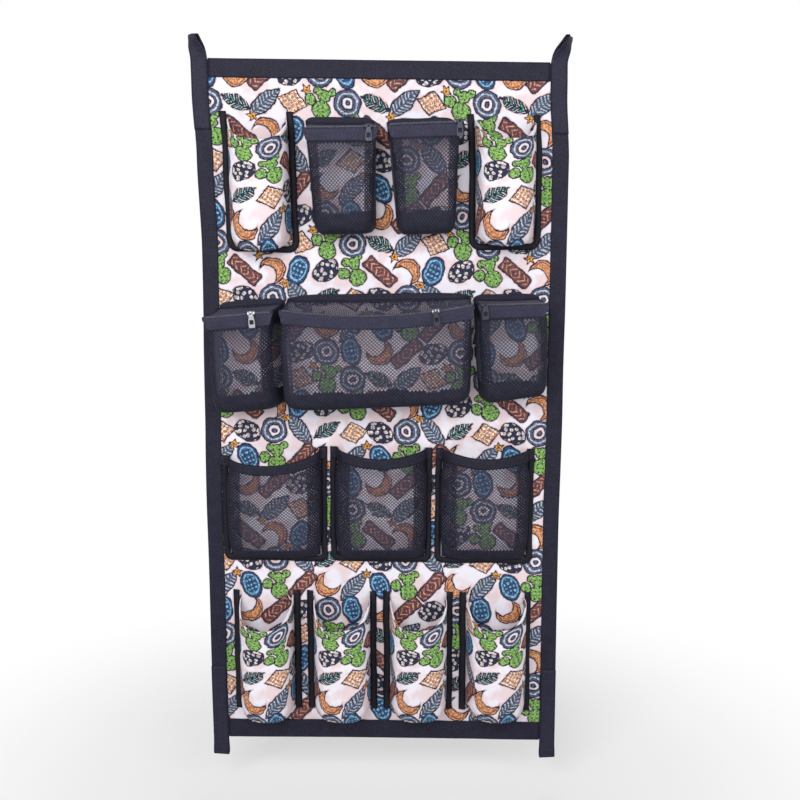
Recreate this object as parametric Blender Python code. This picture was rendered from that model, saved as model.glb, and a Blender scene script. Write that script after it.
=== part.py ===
"""Hanging organizer for a trailer door or a tack room: a cloth panel with four rows of sewn pockets.

Metres, +Z up. The front faces -Y, and +X is to the viewer's right. The origin is midway between the
two upper webbing loops, at the underside of their crowns, where hooks or a bar carry the organizer.
"""

import bisect
import math
from dataclasses import dataclass

import bmesh
import bpy
from mathutils import Matrix, Vector

# Cloth, tape and webbing
GAP = 0.0003
CLOTH = 0.0010
PANEL_THICK = 0.0012
BINDING_THICK = 0.0010
TAPE_THICK = 0.0015
STRAP_THICK = 0.0016

# Panel and its bound edges
PANEL_WIDTH = 0.620
PANEL_HEIGHT = 1.189
SIDE_BINDING = 0.026
TOP_BINDING = 0.029
BOTTOM_BINDING = 0.033

# Webbing loops
STRAP_WIDTH = 0.027
STRAP_OVERHANG = 0.002
UPPER_LOOP_RISE = 0.042
UPPER_LOOP_GAP = 0.0115
UPPER_LOOP_TAIL = 0.114
UPPER_LOOP_LEAN = 0.012
UPPER_LOOP_TWISTS = (math.radians(84), math.radians(88))
LOWER_LOOP_DROP = 0.034
LOWER_LOOP_GAP = 0.010
LOWER_LOOP_TAIL = 0.133
LOWER_LOOP_TWIST = math.radians(6)
TWIST_START = 0.004
LEAN_CURVE = 1.4
LEG_STEPS = 6
CROWN_ARC_STEPS = 8

# Rows, from the top down, and how the spare height is shared between and above them
ROW_HEIGHTS = (0.221, 0.183, 0.207, 0.245)
ROW_SPACING = (0.20, 0.30, 0.30, 0.20)
UPPER_ROW_SHARES = (1.0, 0.94, 0.94, 1.0)
ZIP_ROW_SHARES = (0.112, 0.315, 0.113)
MESH_ROW_SHARES = (1.03, 1.00, 0.97)
LOWER_ROW_SHARES = (0.96, 1.0, 1.0, 1.03)
UPPER_ROW_MARGINS = (0.016, 0.018)
ZIP_ROW_MARGINS = (0.001, 0.018)
MESH_ROW_MARGINS = (0.001, 0.019)
LOWER_ROW_MARGINS = (0.016, 0.020)
UPPER_ROW_GAP = 0.020
ZIP_ROW_GAP = 0.005
MESH_ROW_GAP = 0.006
LOWER_ROW_GAP = 0.013

# Edge tapes beside the pockets
TAPE_WIDTH = 0.011
TAPE_LIFT = 0.0035

# Open bottle pockets: how deep the cloth stands out, and how far its mouth sags in front
BOTTLE_DEPTH = 0.062
BOTTLE_MOUTH_BELOW_TAPE = 0.009
UPPER_MOUTH_DIP = 0.036
LOWER_MOUTH_DIP = 0.044
UPPER_SEAM_RISE = 0.006
LOWER_SEAM_RISE = 0.024
BOTTLE_ROUNDNESS = 2.9
MOUTH_CURVE = 1.6

# Open mesh pockets
MESH_DEPTH = 0.040
MESH_MOUTH_DIP = 0.017
MESH_ROUNDNESS = 3.6
HEM_HEIGHT = 0.021
HEM_THICK = 0.0010

# Zipped mesh pockets
LID_BAND = 0.009
LID_FLANGE = 0.014
LID_FLANGE_SLOPE = 0.10
LID_SAG = 0.003
WALL_DIP = 0.0015
ZIP_BELLY = 0.007
ZIP_ROUNDNESS = 6.0
ZIP_TAPE_THICK = 0.0009
ZIP_TAPE_FRONT = 0.021
ZIP_TAPE_LID = 0.011
ZIP_TAIL = 0.005
COIL_RADIUS = 0.0018
COIL_FROM = math.radians(60)
COIL_TO = math.radians(250)
COIL_STEPS = 5
SAG_STEPS = 16

# Zip slider and pull
SLIDER_LENGTH = 0.012
SLIDER_CLEARANCE = 0.00045
SLIDER_WALL = 0.0018
SLIDER_FACING = math.radians(160)
SLIDER_WRAP = math.radians(85)
CROWN_REACH = 0.0019
CROWN_HOLE = 0.00115
CROWN_WALL = 0.00145
CROWN_WIDTH = 0.0016
CROWN_STEPS = 12
PULL_THICK = 0.0014
PULL_CROSSBAR = 0.0013
PULL_RIM = 0.0016
PULL_ROWS = (0.0, 0.0034, 0.0060, 0.0125, 0.0200, 0.0255)
PULL_WIDTHS = (0.0070, 0.0070, 0.0074, 0.0098, 0.0104, 0.0098)

# How finely the curved cloth is divided
BOTTLE_STEPS = 16
MESH_STEPS = 14
ZIP_STEP_LENGTH = 0.018
FINE_STEPS = 2000

PANEL_TOP = -UPPER_LOOP_RISE
PANEL_BOTTOM = PANEL_TOP - PANEL_HEIGHT
HALF_WIDTH = PANEL_WIDTH / 2
FRONT = -GAP
STRAP_FRONT = -(GAP + BINDING_THICK + GAP)
STRAP_REACH = PANEL_THICK / 2 - STRAP_FRONT


@dataclass(frozen=True)
class Finish:
    """A material: its name, its sRGB colour, its roughness and whether it is metal."""

    name: str
    colour: str
    roughness: float
    metallic: float = 0.0


PRINTED_CLOTH = Finish("printed_cloth", "#D9C9C8", 0.75)
BINDING_CLOTH = Finish("binding_cloth", "#2E2D3D", 0.85)
WEBBING = Finish("webbing", "#302F3E", 0.85)
MESH_CLOTH = Finish("mesh_cloth", "#33313B", 0.80)
ZIP_TAPE = Finish("zip_tape", "#26262F", 0.70)
ZIP_METAL = Finish("zip_metal", "#8A8D96", 0.35, 1.0)


@dataclass(frozen=True)
class BottlePocket:
    """An open pocket of printed cloth between two upright tapes."""

    name: str
    left: float
    right: float
    top: float
    bottom: float
    dip: float
    seam_rise: float


@dataclass(frozen=True)
class MeshPocket:
    """An open mesh pocket with a hem along its mouth; its left end may start lower than its right."""

    name: str
    left: float
    right: float
    top: float
    bottom: float
    left_drop: float


@dataclass(frozen=True)
class ZipPocket:
    """A box-shaped mesh pocket with a top panel that a zipper joins to its front."""

    name: str
    left: float
    right: float
    top: float
    height: float
    depth: float
    drop: float
    tilt: float
    sag: float
    front_shift: tuple
    bottom_shift: tuple
    slider_at: float

    def zip_ends(self):
        """The zip line's left and right ends, as (x, z)."""
        low = self.top - self.drop
        left = (self.left + self.front_shift[0], low - self.tilt / 2)
        right = (self.right + self.front_shift[1], low + self.tilt / 2)
        return left, right

    def zip_circle(self):
        """The centre and radius of the arc that a sagging zip line follows."""
        left, right = self.zip_ends()
        chord = math.dist(left, right)
        radius = (chord * chord / 4 + self.sag * self.sag) / (2 * self.sag)
        angle = math.atan2(right[1] - left[1], right[0] - left[0])
        rise = radius - self.sag
        middle = ((left[0] + right[0]) / 2, (left[1] + right[1]) / 2)
        return (middle[0] - rise * math.sin(angle), middle[1] + rise * math.cos(angle)), radius

    def zip_height(self, x):
        """The height of the zip line at x."""
        if self.sag:
            centre, radius = self.zip_circle()
            return centre[1] - math.sqrt(radius * radius - (x - centre[0]) ** 2)
        left, right = self.zip_ends()
        return left[1] + (right[1] - left[1]) * (x - left[0]) / (right[0] - left[0])

    def zip_station(self, share, extra=0.0):
        """A frame on the zip line: share 0 is its left end, 1 its right, and extra runs on past it."""
        left, right = self.zip_ends()
        if self.sag:
            centre, radius = self.zip_circle()
            first = math.atan2(left[0] - centre[0], centre[1] - left[1])
            last = math.atan2(right[0] - centre[0], centre[1] - right[1])
            angle = first + (last - first) * share + extra / radius
            x = centre[0] + radius * math.sin(angle)
            z = centre[1] - radius * math.cos(angle)
        else:
            angle = math.atan2(right[1] - left[1], right[0] - left[0])
            x = left[0] + (right[0] - left[0]) * share + extra * math.cos(angle)
            z = left[1] + (right[1] - left[1]) * share + extra * math.sin(angle)
        return Matrix.Translation((x, FRONT - self.depth, z)) @ Matrix.Rotation(-angle, 4, "Y")

    def lid_height(self, x, share, reach):
        """The height of the top panel's upper face, reach metres in from its front edge."""
        flange = self.zip_height(x) + LID_FLANGE_SLOPE * min(reach, LID_FLANGE)
        if reach <= LID_FLANGE:
            return flange
        seam = self.top - LID_BAND + self.tilt * (share - 0.5)
        way = (reach - LID_FLANGE) / (self.depth - CLOTH - LID_FLANGE)
        sag = LID_SAG * math.sin(math.pi * share) * math.sin(math.pi * min(1.0, way))
        return flange + (seam - flange) * way - sag

    def across(self, share, outward):
        """The x of a point, share of the way across and outward of the way to the front."""
        at_panel = self.left + (self.right - self.left) * share
        shift = self.front_shift[0] + (self.front_shift[1] - self.front_shift[0]) * share
        return at_panel + shift * outward


def linear(colour):
    """The linear RGBA value of an sRGB hex colour."""
    parts = [int(colour[i : i + 2], 16) / 255 for i in (1, 3, 5)]
    return [p / 12.92 if p <= 0.04045 else ((p + 0.055) / 1.055) ** 2.4 for p in parts] + [1.0]


def material(finish):
    """The finish's material, made on its first use."""
    made = bpy.data.materials.get(finish.name)
    if made is None:
        made = bpy.data.materials.new(finish.name)
        made.use_nodes = True
        shader = made.node_tree.nodes["Principled BSDF"]
        shader.inputs["Base Color"].default_value = linear(finish.colour)
        shader.inputs["Roughness"].default_value = finish.roughness
        shader.inputs["Metallic"].default_value = finish.metallic
    return made


def add_object(name, bm, finish):
    """Puts a bmesh into the scene as a named object with its material, and frees the bmesh."""
    mesh = bpy.data.meshes.new(name)
    bm.to_mesh(mesh)
    bm.free()
    mesh.materials.append(material(finish))
    mesh.shade_smooth()
    mesh.set_sharp_from_angle(angle=math.radians(35))
    obj = bpy.data.objects.new(name, mesh)
    bpy.context.scene.collection.objects.link(obj)
    return obj


def sewn_sheet(name, across, down, place, thickness, finish):
    """A sheet of cloth: a grid whose points place(share across, share down) puts on its outer face.

    Its wall goes to the back of that face, which looks to the front where across runs to +X and down
    runs to -Z.
    """
    bm = bmesh.new()
    bmesh.ops.create_grid(bm, x_segments=across, y_segments=down, size=0.5)
    for vertex in bm.verts:
        vertex.co = place(vertex.co.x + 0.5, 0.5 - vertex.co.y)
    obj = add_object(name, bm, finish)
    wall = obj.modifiers.new("wall", "SOLIDIFY")
    wall.thickness = thickness
    wall.offset = -1.0
    wall.use_even_offset = True
    return obj


def swept(outline, stations):
    """A bmesh of an outline of (y, z) points carried through station matrices and capped."""
    bm = bmesh.new()
    corners = [bm.verts.new(stations[0] @ Vector((0.0, y, z))) for y, z in outline]
    end = bm.faces.new(corners)
    for index, (before, after) in enumerate(zip(stations, stations[1:])):
        made = bmesh.ops.extrude_face_region(bm, geom=[end])["geom"]
        if index:
            bmesh.ops.delete(bm, geom=[end], context="FACES_ONLY")
        end = next(g for g in made if isinstance(g, bmesh.types.BMFace))
        bmesh.ops.transform(bm, matrix=after @ before.inverted(), verts=end.verts)
    bmesh.ops.recalc_face_normals(bm, faces=bm.faces)
    return bm


def read_row(rows, share):
    """The values of a table at an even share of its rows."""
    return rows[round(share * (len(rows) - 1))]


def spread(margins, gap, shares):
    """The (left, right) of each pocket of a row, between the side bindings."""
    left = -HALF_WIDTH + SIDE_BINDING + margins[0]
    room = PANEL_WIDTH - 2 * SIDE_BINDING - sum(margins) - gap * (len(shares) - 1)
    places = []
    for share in shares:
        width = room * share / sum(shares)
        places.append((left, left + width))
        left += width + gap
    return places


def row_tops():
    """The height of the top of each row."""
    spare = PANEL_HEIGHT - TOP_BINDING - BOTTOM_BINDING - sum(ROW_HEIGHTS)
    tops = []
    level = PANEL_TOP - TOP_BINDING
    for height, share in zip(ROW_HEIGHTS, ROW_SPACING):
        level -= spare * share / sum(ROW_SPACING)
        tops.append(level)
        level -= height
    return tops


def rounded_section(roundness, width, depth, steps):
    """Evenly spaced points of a pocket's section from seam to seam: x from -1 to 1, out from 0 to 1.

    A higher roundness number makes a squarer section.
    """
    power = 2 / roundness
    fine = []
    for step in range(FINE_STEPS + 1):
        angle = math.pi * step / FINE_STEPS
        x = -math.copysign(abs(math.cos(angle)) ** power, math.cos(angle))
        fine.append((x, abs(math.sin(angle)) ** power))
    run = [0.0]
    for (x0, out0), (x1, out1) in zip(fine, fine[1:]):
        run.append(run[-1] + math.hypot((x1 - x0) * width / 2, (out1 - out0) * depth))
    section = [(-1.0, 0.0)]
    for step in range(1, steps):
        index = bisect.bisect_left(run, run[-1] * step / steps)
        section.append(fine[index])
    return section + [(1.0, 0.0)]


def make_panel():
    """The printed panel that carries everything."""

    def place(across, down):
        return Vector((PANEL_WIDTH * (across - 0.5), 0.0, PANEL_TOP - PANEL_HEIGHT * down))

    sewn_sheet("back_panel", 4, 8, place, PANEL_THICK, PRINTED_CLOTH)


def make_binding(name, start, end, inward, width):
    """A tape folded over one edge of the panel, from start to end with the panel on its inner side."""
    fold = (
        (width, FRONT),
        (-GAP, FRONT),
        (-GAP, PANEL_THICK + GAP),
        (width, PANEL_THICK + GAP),
    )

    def place(along, round_edge):
        reach, y = read_row(fold, round_edge)
        return start.lerp(end, along) + inward * reach + Vector((0.0, y, 0.0))

    sewn_sheet(name, 1, len(fold) - 1, place, BINDING_THICK, BINDING_CLOTH)


def make_bindings():
    """The four edge bindings; the top and bottom ones end against the side ones."""
    inner = HALF_WIDTH - SIDE_BINDING - GAP
    left, right = Vector((1, 0, 0)), Vector((-1, 0, 0))
    down, up = Vector((0, 0, -1)), Vector((0, 0, 1))
    make_binding(
        "binding_left",
        Vector((-HALF_WIDTH, 0, PANEL_BOTTOM)),
        Vector((-HALF_WIDTH, 0, PANEL_TOP)),
        left,
        SIDE_BINDING,
    )
    make_binding(
        "binding_right",
        Vector((HALF_WIDTH, 0, PANEL_TOP)),
        Vector((HALF_WIDTH, 0, PANEL_BOTTOM)),
        right,
        SIDE_BINDING,
    )
    make_binding(
        "binding_top", Vector((-inner, 0, PANEL_TOP)), Vector((inner, 0, PANEL_TOP)), down, TOP_BINDING
    )
    make_binding(
        "binding_bottom",
        Vector((inner, 0, PANEL_BOTTOM)),
        Vector((-inner, 0, PANEL_BOTTOM)),
        up,
        BOTTOM_BINDING,
    )


def make_strap(name, side, upward, rise, gap, tail, lean, twist):
    """A webbing loop: a tail on the front, over or under the panel's edge in a loop, a tail behind.

    side is -1 at the left and 1 at the right; upward is 1 for a loop over the top edge and -1 for one
    below the bottom edge.
    """
    edge = PANEL_TOP if upward > 0 else PANEL_BOTTOM
    centre = side * (HALF_WIDTH - STRAP_WIDTH / 2 + STRAP_OVERHANG)
    radius = gap / 2
    leg = rise - radius
    path = [(-tail, STRAP_REACH), (-tail / 2, STRAP_REACH), (TWIST_START, STRAP_REACH)]
    for step in range(1, LEG_STEPS):
        share = step / LEG_STEPS
        ease = share * share * (3 - 2 * share)
        height = TWIST_START + (leg - TWIST_START) * share
        path.append((height, STRAP_REACH + (radius - STRAP_REACH) * ease))
    arc = [math.pi * step / CROWN_ARC_STEPS for step in range(CROWN_ARC_STEPS + 1)]
    crown = [(leg + radius * math.sin(a), radius * math.cos(a)) for a in arc]
    back = [(height, -reach) for height, reach in reversed(path)]
    path = path + crown + back

    def place(across, along):
        height, reach = read_row(path, along)
        turned = max(0.0, min(1.0, (height - TWIST_START) / (leg - TWIST_START)))
        angle = side * twist * turned * turned * (3 - 2 * turned)
        over = max(0.0, height / rise)
        out = Vector((math.sin(angle), -math.cos(angle), 0.0))
        wide = Vector((math.cos(angle), math.sin(angle), 0.0))
        middle = Vector((centre + side * lean * over**LEAN_CURVE, PANEL_THICK / 2, edge + upward * height))
        return middle + out * reach + wide * (STRAP_WIDTH * (across - 0.5) * upward)

    sewn_sheet(name, 1, len(path) - 1, place, STRAP_THICK, WEBBING)


def make_straps():
    """The four loops; the right upper one is twisted a little further than the left."""
    for side, word, twist in ((-1, "left", UPPER_LOOP_TWISTS[0]), (1, "right", UPPER_LOOP_TWISTS[1])):
        make_strap(
            f"strap_top_{word}",
            side,
            1,
            UPPER_LOOP_RISE,
            UPPER_LOOP_GAP,
            UPPER_LOOP_TAIL,
            UPPER_LOOP_LEAN,
            twist,
        )
        make_strap(
            f"strap_bottom_{word}",
            side,
            -1,
            LOWER_LOOP_DROP,
            LOWER_LOOP_GAP,
            LOWER_LOOP_TAIL,
            0.0,
            LOWER_LOOP_TWIST,
        )


def make_tape(name, corners, lift=TAPE_LIFT):
    """A tape that follows the corners (x, z) on the panel, outside a pocket's seam.

    corners run down the left, along the bottom and up the right, so the pocket lies to the left of the
    way along. Its edge at the pocket stands off the panel by lift.
    """
    points = [Vector((x, 0.0, z)) for x, z in corners]
    front = Vector((0, -1, 0))
    outward = []
    for index, point in enumerate(points):
        ways = [b - a for a, b in zip(points, points[1:]) if point in (a, b)]
        sides = [way.normalized().cross(front) for way in ways]
        mean = sum(sides, Vector()) / len(sides)
        outward.append(mean / mean.length_squared)

    def place(along, over):
        index = round(along * (len(points) - 1))
        far = points[index] + outward[index] * (TAPE_WIDTH * (1 - over))
        return far + front * (GAP + lift * over)

    sewn_sheet(name, len(points) - 1, 1, place, TAPE_THICK, BINDING_CLOTH)


def pouch_point(seams, section, share, row, depth):
    """A point of an open pocket's outer face and its share of the full depth.

    A row holds the depth as a share, the fall below the mouth as a share and how evenly the section's
    points are spread, which is 1 on the bottom seam.
    """
    outward, fall, even = row
    x, out = read_row(section, share)
    x += (2 * share - 1 - x) * even
    middle = (seams[0] + seams[1]) / 2
    half = (seams[1] - seams[0]) / 2
    return Vector((middle + half * x, FRONT - depth * outward * out - CLOTH * fall**4, 0.0)), out


BOTTLE_ROWS = (
    (1.00, 0.00, 0.0),
    (1.00, 0.10, 0.0),
    (1.01, 0.27, 0.0),
    (1.04, 0.46, 0.0),
    (1.05, 0.64, 0.0),
    (1.01, 0.79, 0.0),
    (0.90, 0.89, 0.10),
    (0.68, 0.95, 0.30),
    (0.34, 0.98, 0.65),
    (0.00, 1.00, 1.00),
)


def make_bottle_pocket(pocket):
    """The printed cloth of a bottle pocket: a bulging front whose mouth sags and whose base is gathered."""
    seams = (pocket.left + TAPE_WIDTH + GAP, pocket.right - TAPE_WIDTH - GAP)
    section = rounded_section(BOTTLE_ROUNDNESS, seams[1] - seams[0], BOTTLE_DEPTH, BOTTLE_STEPS)
    mouth = pocket.top - BOTTLE_MOUTH_BELOW_TAPE
    fall = mouth - (pocket.bottom + pocket.seam_rise)

    def place(across, down):
        row = read_row(BOTTLE_ROWS, down)
        point, out = pouch_point(seams, section, across, row, BOTTLE_DEPTH)
        dip = pocket.dip * out**MOUTH_CURVE * (1 - row[1]) ** 1.5
        hang = pocket.seam_rise * out * min(1.0, 1.5 * row[0]) * row[1] ** 4
        point.z = mouth - fall * row[1] - dip - hang
        return point

    name = f"{pocket.name}_cloth"
    sewn_sheet(name, BOTTLE_STEPS, len(BOTTLE_ROWS) - 1, place, CLOTH, PRINTED_CLOTH)


def make_bottle_pockets(tops):
    """The two upper bottle pockets, each with one tape round it, and the four lower ones."""
    upper = spread(UPPER_ROW_MARGINS, UPPER_ROW_GAP, UPPER_ROW_SHARES)
    for word, (left, right) in (("left", upper[0]), ("right", upper[3])):
        base = tops[0] - ROW_HEIGHTS[0]
        pocket = BottlePocket(
            f"bottle_pocket_upper_{word}", left, right, tops[0], base, UPPER_MOUTH_DIP, UPPER_SEAM_RISE
        )
        make_bottle_pocket(pocket)
        inner = (left + TAPE_WIDTH, right - TAPE_WIDTH)
        low = base - GAP
        make_tape(
            f"{pocket.name}_tape",
            [(inner[0], tops[0]), (inner[0], low), (inner[1], low), (inner[1], tops[0])],
            lift=0.0,
        )
    for number, (left, right) in enumerate(
        spread(LOWER_ROW_MARGINS, LOWER_ROW_GAP, LOWER_ROW_SHARES), start=1
    ):
        base = tops[3] - ROW_HEIGHTS[3]
        pocket = BottlePocket(
            f"bottle_pocket_lower_{number}", left, right, tops[3], base, LOWER_MOUTH_DIP, LOWER_SEAM_RISE
        )
        make_bottle_pocket(pocket)
        end = base + LOWER_SEAM_RISE
        inner = (left + TAPE_WIDTH, right - TAPE_WIDTH)
        make_tape(f"{pocket.name}_tape_left", [(inner[0], tops[3]), (inner[0], end)])
        make_tape(f"{pocket.name}_tape_right", [(inner[1], end), (inner[1], tops[3])])


MESH_ROWS = (
    (1.00, 0.00, 0.0),
    (0.97, 0.11, 0.0),
    (0.91, 0.30, 0.0),
    (0.82, 0.55, 0.0),
    (0.68, 0.80, 0.10),
    (0.42, 0.96, 0.45),
    (0.00, 1.00, 1.00),
)


def make_mesh_pocket(pocket):
    """An open mesh pocket: its net front, the hem folded over its mouth and the tape round it."""
    hem_wall = HEM_THICK + GAP
    seams = (pocket.left + TAPE_WIDTH + GAP + hem_wall, pocket.right - TAPE_WIDTH - GAP - hem_wall)
    section = rounded_section(MESH_ROUNDNESS, seams[1] - seams[0], MESH_DEPTH, MESH_STEPS)
    fall = pocket.top - pocket.bottom

    def mouth(share, out):
        return pocket.top - pocket.left_drop * (1 - share) ** 0.6 - MESH_MOUTH_DIP * out**1.5

    def net(across, down):
        row = read_row(MESH_ROWS, down)
        point, out = pouch_point(seams, section, across, row, MESH_DEPTH)
        level = mouth(across, out)
        point.z = level + (pocket.bottom - level) * row[1]
        return point

    sewn_sheet(f"{pocket.name}_net", MESH_STEPS, len(MESH_ROWS) - 1, net, CLOTH, MESH_CLOTH)
    outer = (seams[0] - hem_wall, seams[1] + hem_wall)

    def hem(across, down):
        share = MESH_ROWS[1][1] * fall
        outward = 1 - (1 - MESH_ROWS[1][0]) * min(1.0, HEM_HEIGHT * down / share)
        row = (outward, 0.0, 0.0)
        point, out = pouch_point(outer, section, across, row, MESH_DEPTH + hem_wall)
        point.z = mouth(across, out) - HEM_HEIGHT * down
        return point

    sewn_sheet(f"{pocket.name}_hem", MESH_STEPS, 1, hem, HEM_THICK, BINDING_CLOTH)
    inner = (pocket.left + TAPE_WIDTH, pocket.right - TAPE_WIDTH)
    low = pocket.bottom - GAP
    make_tape(
        f"{pocket.name}_tape",
        [
            (inner[0], pocket.top - pocket.left_drop),
            (inner[0], low),
            (inner[1], low),
            (inner[1], pocket.top),
        ],
        lift=0.0,
    )


def make_mesh_pockets(tops):
    """The three open mesh pockets; the left one's mouth has slipped down at its left end."""
    places = spread(MESH_ROW_MARGINS, MESH_ROW_GAP, MESH_ROW_SHARES)
    drops = (0.018, 0.0, 0.0)
    for word, (left, right), drop in zip(("left", "middle", "right"), places, drops):
        base = tops[2] - ROW_HEIGHTS[2] + TAPE_WIDTH
        make_mesh_pocket(MeshPocket(f"mesh_pocket_{word}", left, right, tops[2], base, drop))


ZIP_ROWS = (
    (1.00, 0.00, 0.0),
    (1.00, 0.16, 0.0),
    (1.03, 0.38, 0.0),
    (1.03, 0.64, 0.0),
    (1.00, 0.84, 0.0),
    (0.94, 0.92, 0.05),
    (0.80, 0.96, 0.15),
    (0.42, 0.98, 0.50),
    (0.00, 1.00, 1.00),
)


def make_zip_body(pocket):
    """The front, the side walls and the base of a zipped pocket, in one piece of net."""
    width = pocket.right - pocket.left
    steps = 2 * round((width + 2 * pocket.depth) / ZIP_STEP_LENGTH / 2)
    section = rounded_section(ZIP_ROUNDNESS, width, pocket.depth, steps)

    def place(across, down):
        outward, fall, even = read_row(ZIP_ROWS, down)
        x, out = read_row(section, across)
        share = (x + (2 * across - 1 - x) * even + 1) / 2
        reach = outward * out
        x = pocket.across(share, min(1.0, reach))
        top_reach = pocket.depth * (1 - min(1.0, reach))
        top = pocket.lid_height(x, share, top_reach) - CLOTH - GAP
        top -= WALL_DIP * 4 * out * (1 - out)
        base = pocket.top - pocket.height + pocket.tilt * (share - 0.5)
        narrow = pocket.bottom_shift[0] + (pocket.bottom_shift[1] - pocket.bottom_shift[0]) * share
        x += narrow * fall
        z = top + (base - top) * fall - ZIP_BELLY * out * min(1.0, 1.5 * outward) * fall**6
        return Vector((x, FRONT - pocket.depth * reach - CLOTH * fall**8, z))

    sewn_sheet(f"{pocket.name}_body", steps, len(ZIP_ROWS) - 1, place, CLOTH, MESH_CLOTH)


def make_zip_lid(pocket):
    """The top panel, from its band sewn to the panel down to the zip line."""
    room = pocket.depth - CLOTH
    reaches = [room, room]
    reaches += [LID_FLANGE + (room - LID_FLANGE) * share for share in (0.72, 0.46, 0.22, 0.0)]
    reaches += [0.0]

    def place(across, down):
        index = round(down * (len(reaches) - 1))
        reach = reaches[index]
        x = pocket.across(across, 1 - reach / room)
        z = pocket.lid_height(x, across, reach)
        if index == 0:
            z += LID_BAND
        return Vector((x, FRONT - CLOTH - room + reach, z))

    sewn_sheet(f"{pocket.name}_lid", 10, len(reaches) - 1, place, CLOTH, MESH_CLOTH)


def coil_centre():
    """The middle of the coil, as (y, z) from the zip line."""
    out = GAP + ZIP_TAPE_THICK + COIL_RADIUS / 3
    return -out, out


def ring_point(radius, angle):
    """A point round the coil's middle, as (y, z)."""
    y, z = coil_centre()
    return y + radius * math.cos(angle), z + radius * math.sin(angle)


def make_zipper(pocket):
    """Both tapes of the zipper with the closed coil between them, its ends standing past the pocket."""
    outer = GAP + ZIP_TAPE_THICK
    rise = LID_FLANGE_SLOPE * ZIP_TAPE_LID
    outline = [(-GAP, -ZIP_TAPE_FRONT), (-GAP, GAP)]
    outline += [(ZIP_TAPE_LID, GAP + rise), (ZIP_TAPE_LID, outer + rise)]
    for step in range(COIL_STEPS + 1):
        outline.append(ring_point(COIL_RADIUS, COIL_FROM + (COIL_TO - COIL_FROM) * step / COIL_STEPS))
    outline += [(-outer, -COIL_RADIUS), (-outer, -ZIP_TAPE_FRONT)]
    steps = SAG_STEPS if pocket.sag else 1
    stations = [pocket.zip_station(0.0, -ZIP_TAIL)]
    stations += [pocket.zip_station(step / steps) for step in range(1, steps)]
    stations.append(pocket.zip_station(1.0, ZIP_TAIL))
    add_object(f"{pocket.name}_zipper", swept(outline, stations), ZIP_TAPE)


def make_slider_mesh():
    """The slider's mesh, its coil at the origin's place: two flanges round the coil and a crown."""
    inner = COIL_RADIUS + SLIDER_CLEARANCE
    outer = inner + SLIDER_WALL
    turns = [SLIDER_FACING + SLIDER_WRAP * step / 4 for step in range(-4, 5)]
    outline = [ring_point(outer, a) for a in turns] + [ring_point(inner, a) for a in reversed(turns)]
    stations = [Matrix.Translation((SLIDER_LENGTH * share, 0, 0)) for share in (-0.5, 0.5)]
    body = add_object("slider_body", swept(outline, stations), ZIP_METAL)
    middle = ring_point(outer + CROWN_REACH, SLIDER_FACING)
    profile = []
    for radius in (CROWN_HOLE, CROWN_HOLE + CROWN_WALL):
        for side in (-0.5, 0.5):
            profile.append(Vector((CROWN_WIDTH * side, middle[0] + radius, middle[1])))
    bm = bmesh.new()
    corners = [bm.verts.new(profile[index]) for index in (0, 1, 3, 2)]
    edges = [bm.edges.new(pair) for pair in zip(corners, corners[1:] + corners[:1])]
    bmesh.ops.spin(
        bm,
        geom=corners + edges,
        cent=(0.0, middle[0], middle[1]),
        axis=(1.0, 0.0, 0.0),
        angle=2 * math.pi,
        steps=CROWN_STEPS,
        use_merge=True,
    )
    bmesh.ops.recalc_face_normals(bm, faces=bm.faces)
    crown = add_object("slider_crown", bm, ZIP_METAL)
    crown.hide_render = True
    crown.display_type = "WIRE"
    joined = body.modifiers.new("crown", "BOOLEAN")
    joined.operation = "UNION"
    joined.solver = "EXACT"
    joined.object = crown
    view = bpy.context.evaluated_depsgraph_get()
    mesh = bpy.data.meshes.new_from_object(body.evaluated_get(view))
    mesh.name = "zip_slider"
    bpy.data.objects.remove(body)
    bpy.data.objects.remove(crown)
    return mesh


def make_pull_mesh():
    """The pull's mesh, its crossbar on the X axis at the origin: an eye, a neck and a slotted tab."""
    bm = bmesh.new()
    rows = (-PULL_CROSSBAR / 2, PULL_CROSSBAR / 2) + PULL_ROWS[1:]
    widths = (PULL_WIDTHS[0],) + PULL_WIDTHS
    bmesh.ops.create_grid(bm, x_segments=3, y_segments=len(rows) - 1, size=0.5)
    eye, slot = 1, 4
    gone = []
    for face in bm.faces:
        centre = face.calc_center_median()
        row = int((0.5 - centre.y) * (len(rows) - 1))
        if abs(centre.x) < 0.1 and row in (eye, slot):
            gone.append(face)
    bmesh.ops.delete(bm, geom=gone, context="FACES")
    for vertex in bm.verts:
        row = round((0.5 - vertex.co.y) * (len(rows) - 1))
        half = widths[row] / 2
        x = math.copysign(half if abs(vertex.co.x) > 0.4 else half - PULL_RIM, vertex.co.x)
        vertex.co = (x, 0.0, -rows[row])
    mesh = bpy.data.meshes.new("zip_pull")
    bm.to_mesh(mesh)
    bm.free()
    mesh.materials.append(material(ZIP_METAL))
    return mesh


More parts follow.
